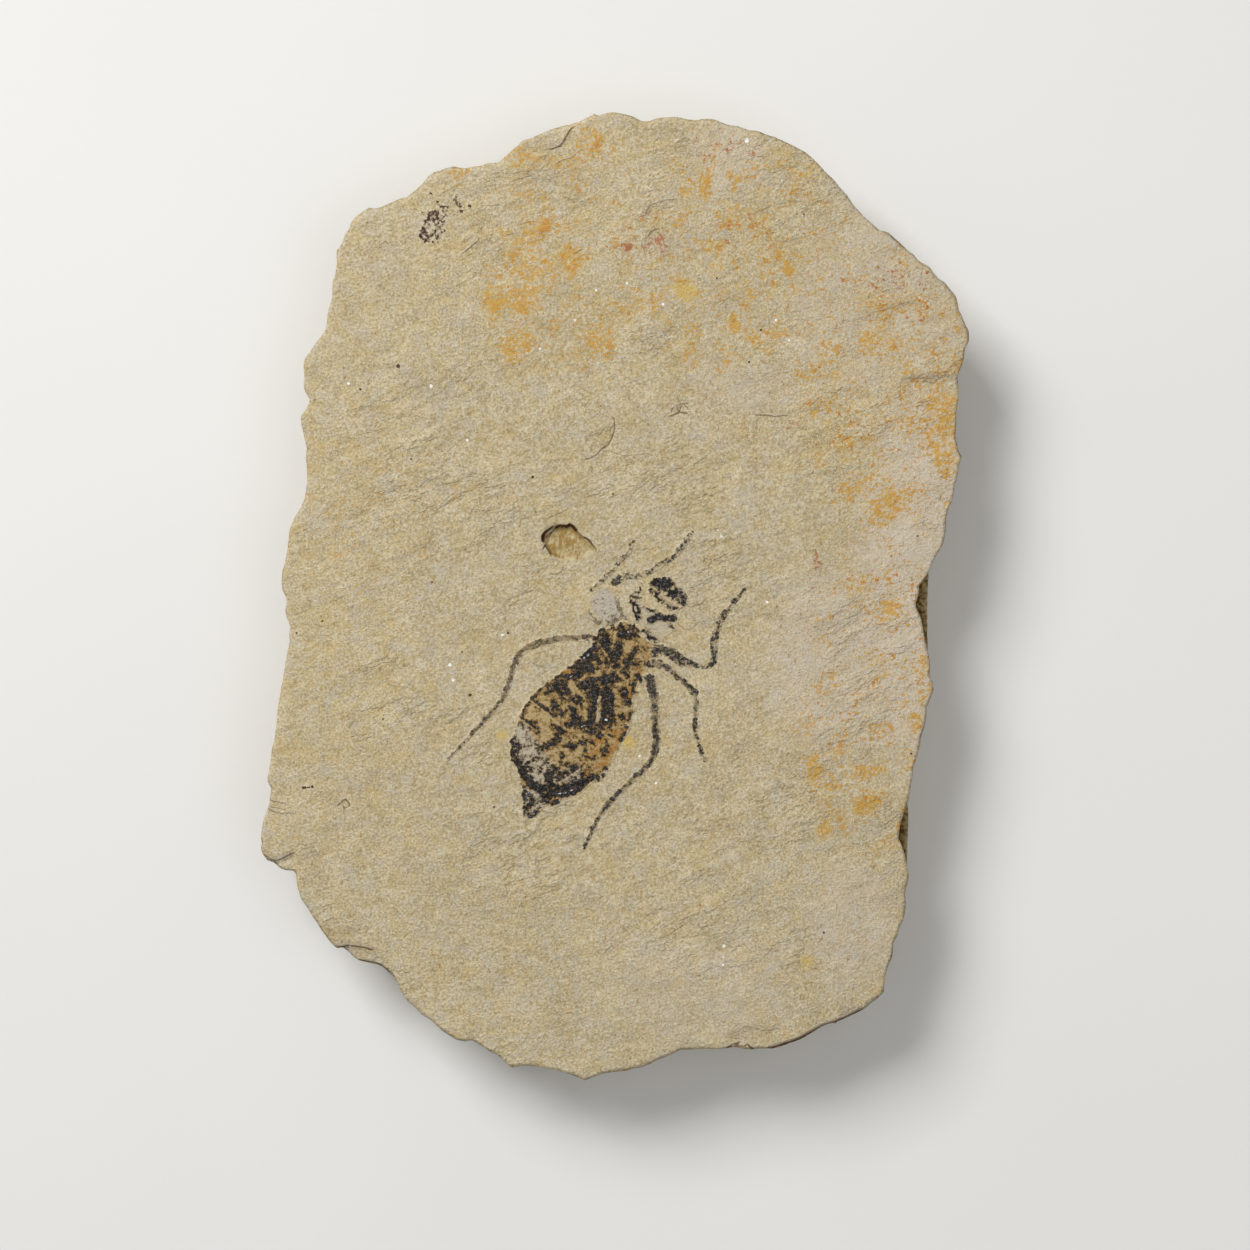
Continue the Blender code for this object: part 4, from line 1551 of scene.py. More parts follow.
@dataclass(frozen=True)
class FilmFinish:
    """A mineral film with a black carbon crust, both broken by noise, that shows the stone where it is gone.

    A darkness is worked out for each place: the bias at the edge of a mark, more inside it and in dusky
    patches, less outside, and noise. A ramp turns it from clean film through brown to black.
    """

    light: Colour = srgb(178, 154, 111)
    cover: Colour = srgb(156, 128, 78)
    brown: Colour = srgb(122, 93, 50)
    umber: Colour = srgb(72, 52, 30)
    black: Colour = srgb(24, 21, 20)
    coal: Colour = srgb(8, 7, 8)
    sheen_highlight: Colour = srgb(126, 125, 132)
    pale: Colour = srgb(184, 173, 152)
    pale_middle: Colour = srgb(164, 151, 127)
    pale_brown: Colour = srgb(126, 112, 90)
    orange: Colour = srgb(166, 114, 40)
    glint: Colour = srgb(236, 238, 244)
    tone_stops: tuple = (0.0, 0.2, 0.37, 0.48, 0.57, 1.0)

    # How much of the thin film and of the crust shows, and how dark each place is
    cover_share: float = 0.92
    strength: float = 0.97
    soft_edge: float = 0.06
    bias: float = 0.45
    slope: float = 1.3
    reach: float = 0.3
    ragged: float = 2.1
    blotch: float = 1.3
    dusk: float = 0.12
    shine: float = 0.12

    # Noise: fine flakes, middling blotches, sheen on the crust, and crinkles in it. Sheen and crinkles are
    # painted as pale highlights.
    fine: Pattern = Pattern(3.6, 3, 0.72)
    middling: Pattern = Pattern(1.7, 3, 0.65, shift=(9, 4, 40))
    sheen: Pattern = Pattern(4.2, 3, 0.7, shift=(3, 8, 21))
    crinkle: Pattern = Pattern(2.2, 2, 0.6, shift=(14, 5, 6))
    crinkle_width: float = 0.022
    crinkle_places: Pair = (-0.06, 0.06)

    # Edges and shares, as in the stone's finish
    cover_break: float = 0.6
    cover_start: float = -0.03
    crust_edge: Pair = (0.48, 0.6)
    crust_bounds: Pair = (-0.12, 0.0)
    orange_share: float = 0.7
    orange_break: float = 2.0
    sheen_patch: Triple = (0.04, 0.13, 0.5)
    crease_share: float = 0.85
    glint_break: float = 3.0
    glint_patch: Triple = (0.55, 0.8, 0.85)
    crust_relief: Triple = (0.02, 0.2, 0.03)
    film_relief: float = 0.12
    film_roughness: float = 0.88
    crust_gloss: float = 0.42

    def tones(self, graph: Graph, dark: Wire, light: Colour, middle: Colour, brown: Colour) -> Wire:
        """The colour of a darkness, by a ramp from clean film to black crust."""
        colours = (light, middle, brown, self.umber, self.black, self.coal)
        return graph.ramp(dark, list(zip(self.tone_stops, colours)))

    def build(self, name: str) -> bpy.types.Material:
        """Makes the film's finish over the bare stone's.

        Args:
            name: the material's name.

        Returns:
            The material.
        """
        graph = Graph(name)
        MarlFinish().stone(graph)
        place_mm = graph.millimetres()
        carbon, covered, mottle = graph.attribute("film")
        pale, orange, glint = graph.attribute("tint")
        patterns = (self.fine, self.middling, self.sheen, self.crinkle)
        fine, middling, sheen, crinkle = (graph.swing(place_mm, pattern) for pattern in patterns)
        crease = abs(crinkle).step(self.crinkle_width, 0.0) * middling.step(*self.crinkle_places)

        held = carbon.least(self.reach).most(-self.reach)
        dark = self.bias + held * self.slope + mottle * self.dusk
        dark = dark + fine * self.ragged + middling * self.blotch
        film = self.tones(graph, dark, self.light, self.cover, self.brown)
        grey = self.tones(graph, dark, self.pale, self.pale_middle, self.pale_brown)
        film = graph.mix(pale, film, grey)
        broken_cover = covered + middling * self.cover_break
        crust = dark.step(*self.crust_edge) * broken_cover.step(*self.crust_bounds)
        golden = orange * (self.orange_share + middling * self.orange_break) * (1 - crust)
        film = graph.mix(golden, film, self.orange)
        # Painted highlights: pale grey flecks and crinkle lines on the glossy crust
        gloss = sheen.patch(self.sheen_patch).most(crease * self.crease_share)
        film = graph.mix(gloss * crust, film, self.sheen_highlight)
        present = broken_cover.step(self.cover_start, self.soft_edge)
        graph.paint((present * self.cover_share).most(crust * self.strength), film)
        # Painted highlights: white glints on the glossy crust
        graph.paint((glint + sheen * self.glint_break).patch(self.glint_patch), self.glint)

        lift, sheen_relief, crease_relief = self.crust_relief
        crust_height = crust * (lift + sheen * sheen_relief + crease * crease_relief)
        graph.height = graph.height + crust_height + present * fine * self.film_relief
        return graph.finish(self.film_roughness - crust * self.crust_gloss, self.shine)


@dataclass
class PlateFace:
    """The upper face of the plate: its broken outline, and its height at any place."""

    # Low swells and ripples that sink to the edge
    swell_height: float = 0.3 * MM
    swell_waves: Pair = (9.0 * MM, 12.5 * MM)
    swell_phases: Pair = (0.6, -0.4)
    ripple_height: float = 0.1 * MM
    ripple_wave: float = 6.2 * MM
    ripple_slant: float = 1.6
    edge_fall: float = 0.2 * MM
    edge_power: int = 8
    chamfer: float = 0.05 * MM
    chamfer_start: float = 0.99

    # Lumps, streaks along the bedding and thin broken ledges
    calm_share: float = 0.4
    rough_edge: Pair = (0.35, 0.75)
    lump_height: float = 0.05 * MM
    lump_wave: float = 6.0 * MM
    bedding_degrees: float = 14.0
    streak_height: float = 0.026 * MM
    streak_wave: float = 1.7 * MM
    streak_stretch: float = 3.0
    ledge_height: float = 0.05 * MM
    ledge_wave: float = 8.0 * MM
    ledge_stretch: float = 2.0
    ledge_count: float = 2.6
    ledge_riser: Pair = (0.42, 0.56)
    ledge_start: Pair = (0.3, 0.6)
    broken_wave: float = 7 * MM
    broken_edge: Pair = (-0.1, 0.6)

    # Flake scars, cracks and the pit
    scar_edge: Pair = (-0.042 * MM, 0.14 * MM)
    scar_deepest: float = 1.1
    crack_softness: float = 0.06 * MM
    crack_slope: float = 1.2 * MM
    crack_end: float = 0.35 * MM
    pit_depth: float = 0.52 * MM
    pit_edge: Pair = (-0.02 * MM, 0.2 * MM)
    pit_start: float = -0.1
    pit_deepest: float = 1.2
    pit_lump: float = 0.22
    pit_lump_wave: float = 0.55 * MM

    # Outline: short pieces of an edge, directions of the smooth outline, and the waves that it keeps
    splits: int = 6
    directions: int = 1024
    smooth_waves: int = 9
    ledge_fade: float = 0.16

    def __post_init__(self) -> None:
        """Works out the outline as distances from the pole, broken and smooth, and reads the face's marks."""
        self.pole = place(POLE_PX)
        corners = place(read_points(FACE_OUTLINE))
        self.corner_count = len(corners)
        turn, _ = self.pieces(corners)
        self.order = np.argsort(turn)
        self.bed_turn = turn[self.order]
        teeth = np.concatenate([corners, place(read_points(EDGE_TEETH))]) - self.pole
        teeth = teeth[np.argsort(np.arctan2(teeth[:, 1], teeth[:, 0]))] + self.pole
        turn, reach = self.pieces(teeth)
        order = np.argsort(turn)
        self.edge_turn, self.edge_reach = turn[order], reach[order]
        self.even_turn = np.linspace(0, FULL_TURN, self.directions, endpoint=False)
        waves = np.fft.rfft(self.reach(self.even_turn))
        waves[self.smooth_waves:] = 0
        self.even_reach = np.fft.irfft(waves, self.directions)
        self.ledges = [self.read_ledge(row) for row in LEDGES]
        self.cracks = self.read_cracks()
        self.scars = [
            (place(read_points(outline)), place(deep), place(fade), depth * MM)
            for outline, deep, fade, depth in SCARS
        ]
        self.pit_outline = place(read_points(PIT_OUTLINE))

    def pieces(self, corners: Array) -> tuple[Array, Array]:
        """The direction and the distance from the pole of each short piece of a closed outline's edges.

        Args:
            corners: the outline.

        Returns:
            The directions and the distances.
        """
        shares = np.arange(self.splits) / self.splits
        after = np.roll(corners, -1, axis=0)
        steps = corners[:, None, :] + (after - corners)[:, None, :] * shares[None, :, None]
        away = steps.reshape(-1, 2) - self.pole
        return direction(away), np.hypot(*away.T)

    @staticmethod
    def read_cracks() -> list[tuple[Array, float, float, float]]:
        """Reads the cracks: the line, half its width, the depth of its step and how dark it is.

        Returns:
            A row for each crack.
        """
        found = []
        for row in CRACKS.strip().splitlines():
            width, step, darkness, points = row.split(" ", 3)
            half = float(width) * PIXEL / 2
            found.append((place(read_points(points)), half, float(step) * 0.01 * MM, float(darkness)))
        return found

    def read_ledge(self, row: str) -> tuple[Array, Array]:
        """Reads a ledge's outer line as its directions from the pole, from -pi to pi, and its distances.

        Args:
            row: its line, in pixels.

        Returns:
            The directions and the distances.
        """
        away = place(read_points(row)) - self.pole
        turn = np.arctan2(away[:, 1], away[:, 0])
        order = np.argsort(turn)
        return turn[order], np.hypot(*away.T)[order]

    def ledge_reach(self, turn: Array) -> Array:
        """How far the lower beds stick out past the outline: their line's way out less the outline's.

        Args:
            turn: directions from the pole.

        Returns:
            The distances, in metres.
        """
        signed = (turn + np.pi) % FULL_TURN - np.pi
        outer = np.zeros(np.shape(turn))
        for line_turn, distance in self.ledges:
            outer = np.maximum(outer, np.interp(signed, line_turn, distance, left=0.0, right=0.0))
        return np.maximum(outer - self.reach(turn), 0)

    def near_ledge(self, turn: Array) -> Array:
        """1 at the directions of a ledge, down to 0 well to each side of it.

        Args:
            turn: directions from the pole.

        Returns:
            The values.
        """
        signed = (turn + np.pi) % FULL_TURN - np.pi
        near = np.zeros(np.shape(turn))
        for line_turn, _ in self.ledges:
            beyond = np.maximum(line_turn[0] - signed, signed - line_turn[-1])
            near = np.maximum(near, smooth_step(1 - beyond / self.ledge_fade))
        return near

    def smooth_reach(self, turn: Array) -> Array:
        """Distance from the pole to the smooth outline."""
        return np.interp(turn, self.even_turn, self.even_reach, period=FULL_TURN)

    def overhang(self, turn: Array) -> Array:
        """How far the outline stands out past its own smooth form."""
        return np.maximum(self.reach(turn) - self.smooth_reach(turn), 0)

    def around(self, values: Array, turn: Array) -> Array:
        """Values given at the outline's short pieces, read in any direction from the pole."""
        return np.interp(turn, self.bed_turn, values[self.order], period=FULL_TURN)

    def reach(self, turn: Array) -> Array:
        """Distance from the pole to the outline."""
        return np.interp(turn, self.edge_turn, self.edge_reach, period=FULL_TURN)

    def wander(self, phase: int) -> Array:
        """In and out movement round the edge, from -1 to 1, that differs from phase to phase.

        It is a swell of 5 and 11 waves with 17 sharp chips, which 7 slow waves push to and fro.

        Args:
            phase: which movement of many.

        Returns:
            A value for each point of the edge.
        """
        count = self.corner_count * self.splits
        turn = np.arange(count) * FULL_TURN / count
        swell = 0.6 * np.sin(5 * turn + 1.9 * phase) + 0.4 * np.sin(11 * turn + 4.1 * phase)
        chips = 1 - 2 * np.abs(np.sin(17 * turn + 2.3 * phase + 0.8 * np.sin(7 * turn + phase)))
        return 0.6 * swell + 0.4 * chips

    def point(self, turn: Array, distance: Array) -> tuple[Array, Array]:
        """x and y at a direction and a distance from the pole."""
        return self.pole[0] + distance * np.cos(turn), self.pole[1] + distance * np.sin(turn)

    def way_out(self, x: Array, y: Array) -> Array:
        """The share of the way from the pole to the outline."""
        away = np.stack([x, y], axis=-1) - self.pole
        return np.hypot(away[..., 0], away[..., 1]) / self.reach(direction(away))

    def height(self, x: Array, y: Array) -> Array:
        """Height of the face: a flat middle that sinks to the edge, with lumps, scars, cracks and the pit.

        Args:
            x, y: places, in metres.

        Returns:
            The height above the surface that the plate lies on.
        """
        share = self.way_out(x, y)
        (wave_x, wave_y), (phase_x, phase_y) = self.swell_waves, self.swell_phases
        swell = np.sin(x / wave_x + phase_x) * np.cos(y / wave_y + phase_y)
        ripple = np.sin((x + self.ripple_slant * y) / self.ripple_wave)
        outward = smooth_step(share, FLAT_SHARE, 1.0)
        sink = self.swell_height * (1 + swell) + self.ripple_height * (1 + ripple)
        sink = outward * (sink + self.edge_fall * np.minimum(share, 1.0) ** self.edge_power)
        chamfer = self.chamfer * smooth_step(share, self.chamfer_start, 1.0)
        return PLATE_THICKNESS - sink - chamfer + self.relief(x, y, share) - self.losses(x, y)

    def relief(self, x: Array, y: Array, share: Array) -> Array:
        """Lumps, streaks along the bedding and thin broken ledges, which are lower near the nymph.

        Args:
            x, y: places, in metres.
            share: how far out each place is, 1 at the edge.

        Returns:
            Height to add.
        """
        rough = self.calm_share + (1 - self.calm_share) * smooth_step(share, *self.rough_edge)
        lumps = layered_noise(x, y, self.lump_wave, layers=2, seed=11) * self.lump_height
        turn = radians(self.bedding_degrees)
        ahead = x * np.cos(turn) + y * np.sin(turn)
        aside = y * np.cos(turn) - x * np.sin(turn)
        streaks = layered_noise(ahead / self.streak_stretch, aside, self.streak_wave, layers=2, seed=23)
        level = layered_noise(ahead / self.ledge_stretch, aside, self.ledge_wave, layers=2, seed=37)
        level = level * self.ledge_count
        whole = np.floor(level)
        ledges = (whole + smooth_step(level - whole, *self.ledge_riser) - level) * self.ledge_height
        broken = noise(x / self.broken_wave, y / self.broken_wave, 0.0, seed=41)
        ledges = ledges * smooth_step(broken, *self.broken_edge) * smooth_step(share, *self.ledge_start)
        return rough * (lumps + streaks * self.streak_height) + ledges

    def losses(self, x: Array, y: Array) -> Array:
        """What the flake scars, the pit and the steps of the cracks take away from the face.

        Args:
            x, y: places, in metres.

        Returns:
            Height to take away.
        """
        lost = np.zeros(np.shape(x))
        for outline, deepest, fade, depth in self.scars:
            way = way_between(x, y, deepest, fade)
            wall = smooth_step(polygon_depth(x, y, outline), *self.scar_edge)
            lost = np.maximum(lost, wall * depth * np.clip(1 - way, 0, self.scar_deepest))
        for line, _, step, _ in self.cracks:
            side, near, _ = self.crack_side(x, y, line)
            below = smooth_step(side, self.crack_softness, -self.crack_softness)
            lost += step * near * below * smooth_step(side, -self.crack_slope, 0.0)
        return lost + self.pit_loss(x, y)

    @staticmethod
    def pit_way(x: Array, y: Array) -> Array:
        """Share of the way across the pit, from its upper left rim to its lower right end."""
        return way_between(x, y, place(PIT_DEEPEST), place(PIT_END))

    def pit_loss(self, x: Array, y: Array) -> Array:
        """Depth of the pit: steep at its upper left rim, with a lumpy floor, and out at its lower right.

        Args:
            x, y: places, in metres.

        Returns:
            Height to take away.
        """
        way = self.pit_way(x, y)
        wall = smooth_step(polygon_depth(x, y, self.pit_outline), *self.pit_edge)
        floor = 1 - smooth_step(way, self.pit_start, 1.0)
        lumps = self.pit_lump * noise(x / self.pit_lump_wave, y / self.pit_lump_wave, 0.0, seed=53)
        lumps = lumps * (1 - np.clip(way, 0, 1))
        return self.pit_depth * wall * np.clip(floor + lumps, 0, self.pit_deepest)

    def crack_side(self, x: Array, y: Array, line: Array) -> tuple[Array, Array, Array]:
        """Where each place lies by a crack.

        Args:
            x, y: the places.
            line: the crack's points.

        Returns:
            The signed distance, a number from 1 beside the crack to 0 past its ends, and the distance.
        """
        nearest = np.full(np.shape(x), np.inf)
        signed = np.full(np.shape(x), 1.0)
        ends = np.zeros(np.shape(x))
        last = len(line) - 2
        for number, (start, end) in enumerate(zip(line[:-1], line[1:])):
            distance, side, share = segment_distance(x, y, start, end)
            length = np.hypot(*(end - start))
            beyond = np.zeros(np.shape(x))
            if number == 0:
                beyond = np.maximum(beyond, -share * length)
            if number == last:
                beyond = np.maximum(beyond, (share - 1) * length)
            closer = distance < nearest
            nearest = np.where(closer, distance, nearest)
            signed = np.where(closer, np.copysign(distance, side), signed)
            ends = np.where(closer, beyond, ends)
        return signed, 1 - smooth_step(ends, 0.0, self.crack_end), nearest


@dataclass
class Slab:
    """The plate of marl as one closed mesh: face, broken beds of the side, and back."""

    face: PlateFace

    # Grid of the face, finer round the nymph's head and the pit: where, how wide and how many times
    cells: int = 246
    across_focus: Triple = (-0.094, 0.08, 4.0)
    up_focus: Triple = (0.207, 0.052, 4.4)
    focus_steps: int = 4001

    # Beds: the top, setback and spread of each in millimetres, with its shares of an overhang's recess and
    # of a ledge, then how they all step, taper and wander. Last the chipped foot: its height and how far it
    # lies in, each with its spread, in millimetres.
    lower_beds: tuple = ((2.2, 1.4, 0.9, 0.4, 0.3), (4.4, 0.8, 0.7, 0.25, 0.65), (6.9, 1.1, 0.8, 0.1, 1.0))
    bed_swell: float = 0.5 * MM
    bed_step: float = 0.15 * MM
    bed_taper: float = 0.25 * MM
    least_setback: float = 0.1 * MM
    top_rings: tuple = (0.1, 0.3, 0.52, 0.75, 1.0)
    bed_rings: tuple = (0.0, 0.08, 0.36, 0.68, 1.0)
    chip: tuple = (0.7, 0.4, 1.3, 0.9)

    # Teeth of the edge and crumbs of the side: noise on a circle of about the plate's radius in millimetres
    circle: float = 33
    jag_height: float = 0.05 * MM
    jag_waves: Pair = (0.9, 0.42)
    jag_shares: Pair = (0.6, 0.5)
    roughness: float = 0.14 * MM
    crumb_waves: Pair = (1.6, 0.6)
    crumb_layer: float = 0.45 * MM
    crumb_share: float = 0.5
    crumb_layers: float = 1.7
    crumb_bias: float = 0.35
    ledge_calm: float = 0.6
    ledge_calm_px: float = 3

    # Back: rings of it, then its low swells and thin ledges
    back_shares: tuple = (0.985, 0.95, 0.9, 0.82, 0.72, 0.6, 0.48, 0.36, 0.24, 0.12)
    back_wave: float = 14 * MM
    back_height: float = 0.16 * MM
    back_bias: float = 0.25
    back_ledge_wave: float = 11 * MM
    back_ledge_edge: Pair = (0.05, 0.16)
    back_ledge_height: float = 0.18 * MM
    back_wall: float = 0.5

    # What the finish reads: soft edges of the pit's marks, and where painted shade darkens the beds under the
    # face
    pit_edge: Pair = (-0.1 * MM, 0.12 * MM)
    shade_edge: Pair = (-0.12 * MM, 0.14 * MM)
    cream_edge: Pair = (-0.15 * MM, 0.1 * MM)
    rim_reach: float = 0.3
    pit_fade: float = 0.55
    pit_fade_edge: Pair = (0.35, 1.0)
    hollow_fade: float = 0.55
    hollow_px: float = 6
    hollow_heights: Pair = (5.6 * MM, 6.8 * MM)
    stain_edge: Pair = (0.5, 1.35)
    crack_reach: float = 1.2 * MM
    crack_fade: Pair = (0.3 * MM, 0.7 * MM)
    grain_reach: float = 1.0 * MM

    def spaced(self, centre: float, half_width: float, gain: float) -> Array:
        """Grid lines from -1 to 1, a gain closer together within a half width of one place.

        Their density is 1 and a flat-topped bell, exp(-(distance / half width)^4), on it.

        Args:
            centre: the place.
            half_width: how far the closer lines reach.
            gain: how many times as close they are.

        Returns:
            One more line than there are cells.
        """
        fine = np.linspace(-1, 1, self.focus_steps)
        density = 1 + (gain - 1) * np.exp(-(((fine - centre) / half_width) ** 4))
        total = np.concatenate([[0], np.cumsum((density[1:] + density[:-1]) / 2)])
        return np.interp(np.linspace(0, 1, self.cells + 1), total / total[-1], fine)

    def face_grid(self) -> tuple[Array, Array]:
        """Places of the face's grid: a square of lines bent to the plate's outline.

        In each quarter of the square the larger coordinate is the share of the way out, and the smaller
        one's ratio to it is the direction. The way out is measured to a smooth outline near the pole and
        to the broken one at the edge.

        Returns:
            x and y, each with a row for every line.
        """
        across, up = np.meshgrid(self.spaced(*self.across_focus), self.spaced(*self.up_focus))
        wide = np.abs(across) >= np.abs(up)
        share = np.maximum(np.abs(across), np.abs(up))
        safe_across = np.where(wide & (share > 0), across, 1.0)
        safe_up = np.where(wide, 1.0, up)
        turn = np.where(
            wide,
            np.pi / 4 * up / safe_across + np.where(across < 0, np.pi, 0.0),
            np.pi / 2 - np.pi / 4 * across / safe_up + np.where(up < 0, np.pi, 0.0),
        ) % FULL_TURN
        rough = self.face.reach(turn) + self.jag(turn)
        smooth = self.face.smooth_reach(turn)
        distance = share * (smooth + (rough - smooth) * share**3)
        return self.face.point(turn, distance)

    def jag(self, turn: Array) -> Array:
        """Fine teeth of the broken edge, all inside the outline.

        Args:
            turn: directions from the pole.

        Returns:
            How far out each place lies, which is less than 0.
        """
        x, y = self.circle * np.cos(turn), self.circle * np.sin(turn)
        (coarse, fine), (coarse_share, fine_share) = self.jag_waves, self.jag_shares
        teeth = coarse_share * noise(x / coarse, y / coarse, 0.0, seed=61)
        teeth = teeth + fine_share * noise(x / fine, y / fine, 0.0, seed=67)
        return self.jag_height * (teeth - 1)

    def side_rings(self, turn: Array, rim: Array) -> Array:
        """The rings of the broken side, from under the points of the rim down to the edge of the back.

        Each point stays in the direction from the pole that its rim point has.

        Args:
            turn: directions from the pole.
            rim: the rim's points.

        Returns:
            The rings' points, a row for each ring.
        """
        face = self.face
        ledge, overhang = face.ledge_reach(turn), face.overhang(turn)
        near = face.near_ledge(turn)
        undercut = 0.5 * (self.least_setback + self.bed_taper) * (1 + 0.5 * face.wander(phase=5))
        undercut = face.around(undercut, turn)
        tops, inward = [], []
        for number, (top, setback, spread, recess, ledge_share) in enumerate(self.lower_beds):
            back = np.maximum(setback * MM + spread * MM * face.wander(phase=number), self.least_setback)
            back = face.around(back, turn) + overhang * recess
            back = self.least_setback + (back - self.least_setback) * (1 - near)
            inward.append(back - ledge * ledge_share)
            tops.append(face.around(top * MM + self.bed_swell * face.wander(phase=number + 10), turn))
        bottom = tops[2] + self.bed_step
        heights = [rim[:, 2] + (bottom - rim[:, 2]) * share for share in self.top_rings]
        setbacks = [undercut * share for share in self.top_rings]
        height, spread, chip_reach, reach_spread = (value * MM for value in self.chip)
        chip_top = face.around(height + spread * face.wander(phase=21), turn)
        lows = [chip_top, tops[0] + self.bed_step, tops[1] + self.bed_step]
        for number in (2, 1, 0):
            for share in self.bed_rings:
                heights.append(tops[number] + (lows[number] - tops[number]) * share)
                setbacks.append(inward[number] + self.bed_taper * share)
        reach_in = face.around(chip_reach + reach_spread * face.wander(phase=22), turn)
        heights.append(np.zeros(len(turn)))
        setbacks.append(inward[0] + self.bed_taper + reach_in)
        height, setback = np.array(heights), np.array(setbacks)
        calm = 1 - self.ledge_calm * smooth_step(ledge / (self.ledge_calm_px * PIXEL))
        setback = setback + np.where(height > 0, self.crumbs(turn, height) * calm, 0)
        distance = np.hypot(*(rim[:, :2] - face.pole).T) - setback
        return np.stack([*face.point(turn, distance), height], axis=2)

    def crumbs(self, turn: Array, height: Array) -> Array:
        """Small flakes and hollows of the broken side, always inwards, in thin layers.

        Args:
            turn: directions from the pole.
            height: the height of each place.

        Returns:
            How far in each place lies.
        """
        x, y = self.circle * np.cos(turn), self.circle * np.sin(turn)
        layer = height / self.crumb_layer
        coarse, fine = self.crumb_waves
        small = noise(x / fine, y / fine, layer * self.crumb_layers, seed=73)
        rough = noise(x / coarse, y / coarse, layer, seed=71) + self.crumb_share * small
        return self.roughness * np.maximum(rough + self.crumb_bias, 0.0)

    def back_rings(self, edge: Array) -> Array:
        """The back: low swells that touch the surface it lies on only here and there.

        Args:
            edge: the last ring of the side.

        Returns:
            The rings' points, a row for each ring.
        """
        pole, wave = self.face.pole, self.back_ledge_wave
        flat = pole + (edge[None, :, :2] - pole) * np.array(self.back_shares)[:, None, None]
        x, y = flat[:, :, 0], flat[:, :, 1]
        swell = layered_noise(x, y, self.back_wave, layers=4, seed=83)
        ledge = smooth_step(noise(x / wave, y / wave, 0.0, seed=89), *self.back_ledge_edge)
        height = self.back_height * np.maximum(swell + self.back_bias, 0) + self.back_ledge_height * ledge
        return np.dstack([flat, height])

    def attributes(self, corners: Array, face_count: int, walls: Array) -> dict[str, Array]:
        """Numbers that the stone's finish reads at each corner of the mesh, as vectors by name.

        Args:
            corners: all corners, in metres.
            face_count: how many of them, from the first, are on the face.
            walls: how far each is into the broken side or the back.

        Returns:
            Vectors by attribute name.
        """
        x, y = corners[:, 0], corners[:, 1]
        on_face = (np.arange(len(corners)) < face_count).astype(float)
        yellow = self.stain(YELLOW_STAINS, x, y) - self.stain(PALE_PATCHES, x, y)
        stains = np.stack([self.stain(ORANGE_STAINS, x, y), self.stain(RED_STAINS, x, y), yellow], axis=1)
        inside = smooth_step(polygon_depth(x, y, self.face.pit_outline), *self.pit_edge) * on_face
        rim = np.clip(marks_depth(PIT_RIM_SHADOW, x, y) / MM, -self.rim_reach, self.rim_reach)
        shade = smooth_step(marks_depth(PIT_SHADE, x, y), *self.shade_edge)
        cream = smooth_step(marks_depth(PIT_CREAM, x, y), *self.cream_edge)
        faded = 1 - self.pit_fade * smooth_step(self.face.pit_way(x, y), *self.pit_fade_edge)
        pit = [np.where(on_face > 0, rim, -self.rim_reach), inside * faded, (cream - shade) * inside]
        broken = [walls, self.hollow(corners) * (1 - on_face), np.zeros(len(corners))]
        cracks = nearest_row(self.crack_rows(x, y), len(x), self.crack_reach)
        grains = nearest_row(self.grain_rows(x, y), len(x), self.grain_reach)
        return {
            "stains": stains * on_face[:, None],
            "cracks": cracks * on_face[:, None],
            "grains": grains * on_face[:, None],
            "broken": np.stack(broken, axis=1),
            "pit": np.stack(pit, axis=1),
        }

    def hollow(self, corners: Array) -> Array:
        """How strongly painted shade darkens the beds where they stick out under the face: most next to the
        face, and less outwards and downwards.

        Args:
            corners: all corners, in metres.

        Returns:
            A strength for each corner.
        """
        away = corners[:, :2] - self.face.pole
        turn = direction(away)
        reach = self.face.ledge_reach(turn)
        out = (np.hypot(*away.T) - self.face.reach(turn)) / np.maximum(reach, PIXEL)
        near_face = 1 - self.hollow_fade * np.clip(out, 0, 1)
        wide = smooth_step(reach / (self.hollow_px * PIXEL))
        return near_face * wide * smooth_step(corners[:, 2], *self.hollow_heights)

    def stain(self, text: str, x: Array, y: Array) -> Array:
        """Strength of one kind of stain: the strongest of soft ovals.

        Args:
            text: the ovals.
            x, y: places, in metres.

        Returns:
            The strength at each place.
        """
        strength = np.zeros(len(x))
        for row in text.strip().splitlines():
            force, first, last = row.split(" ")
            corners = place(read_points(f"{first} {last}"))
            middle, half = corners.mean(axis=0), np.abs(corners[1] - corners[0]) / 2
            away = np.hypot((x - middle[0]) / half[0], (y - middle[1]) / half[1])
            strength = np.maximum(strength, float(force) * (1 - smooth_step(away, *self.stain_edge)))
        return strength

    def crack_rows(self, x: Array, y: Array) -> Iterable[tuple[Array, Array]]:
        """Distance to each crack, then its signed distance, strength and half width in millimetres.

        Args:
            x, y: places, in metres.

        Returns:
            Pairs of a distance and a row of three numbers for each place.
        """
        for line, half, _, darkness in self.face.cracks:
            side, near, distance = self.face.crack_side(x, y, line)
            strength = near * darkness * (1 - smooth_step(distance, *self.crack_fade))
            yield distance, np.stack([side / MM, strength, np.full(len(x), half / MM)], axis=1)

    @staticmethod
    def grain_rows(x: Array, y: Array) -> Iterable[tuple[Array, Array]]:
        """Distance to each placed grain, then the way to it and its radius, below 0 for a white one.

        Args:
            x, y: places, in metres.

        Returns:
            Pairs of a distance and a row of three numbers for each place.
        """
        for text, sign in ((DARK_GRAINS, 1), (WHITE_GRAINS, -1)):
            for mark in read_marks(text):
                across, up = x - mark.line[0, 0], y - mark.line[0, 1]
                radius = np.full(len(x), sign * mark.half_width)
                yield np.hypot(across, up), np.stack([across, up, radius], axis=1) / MM

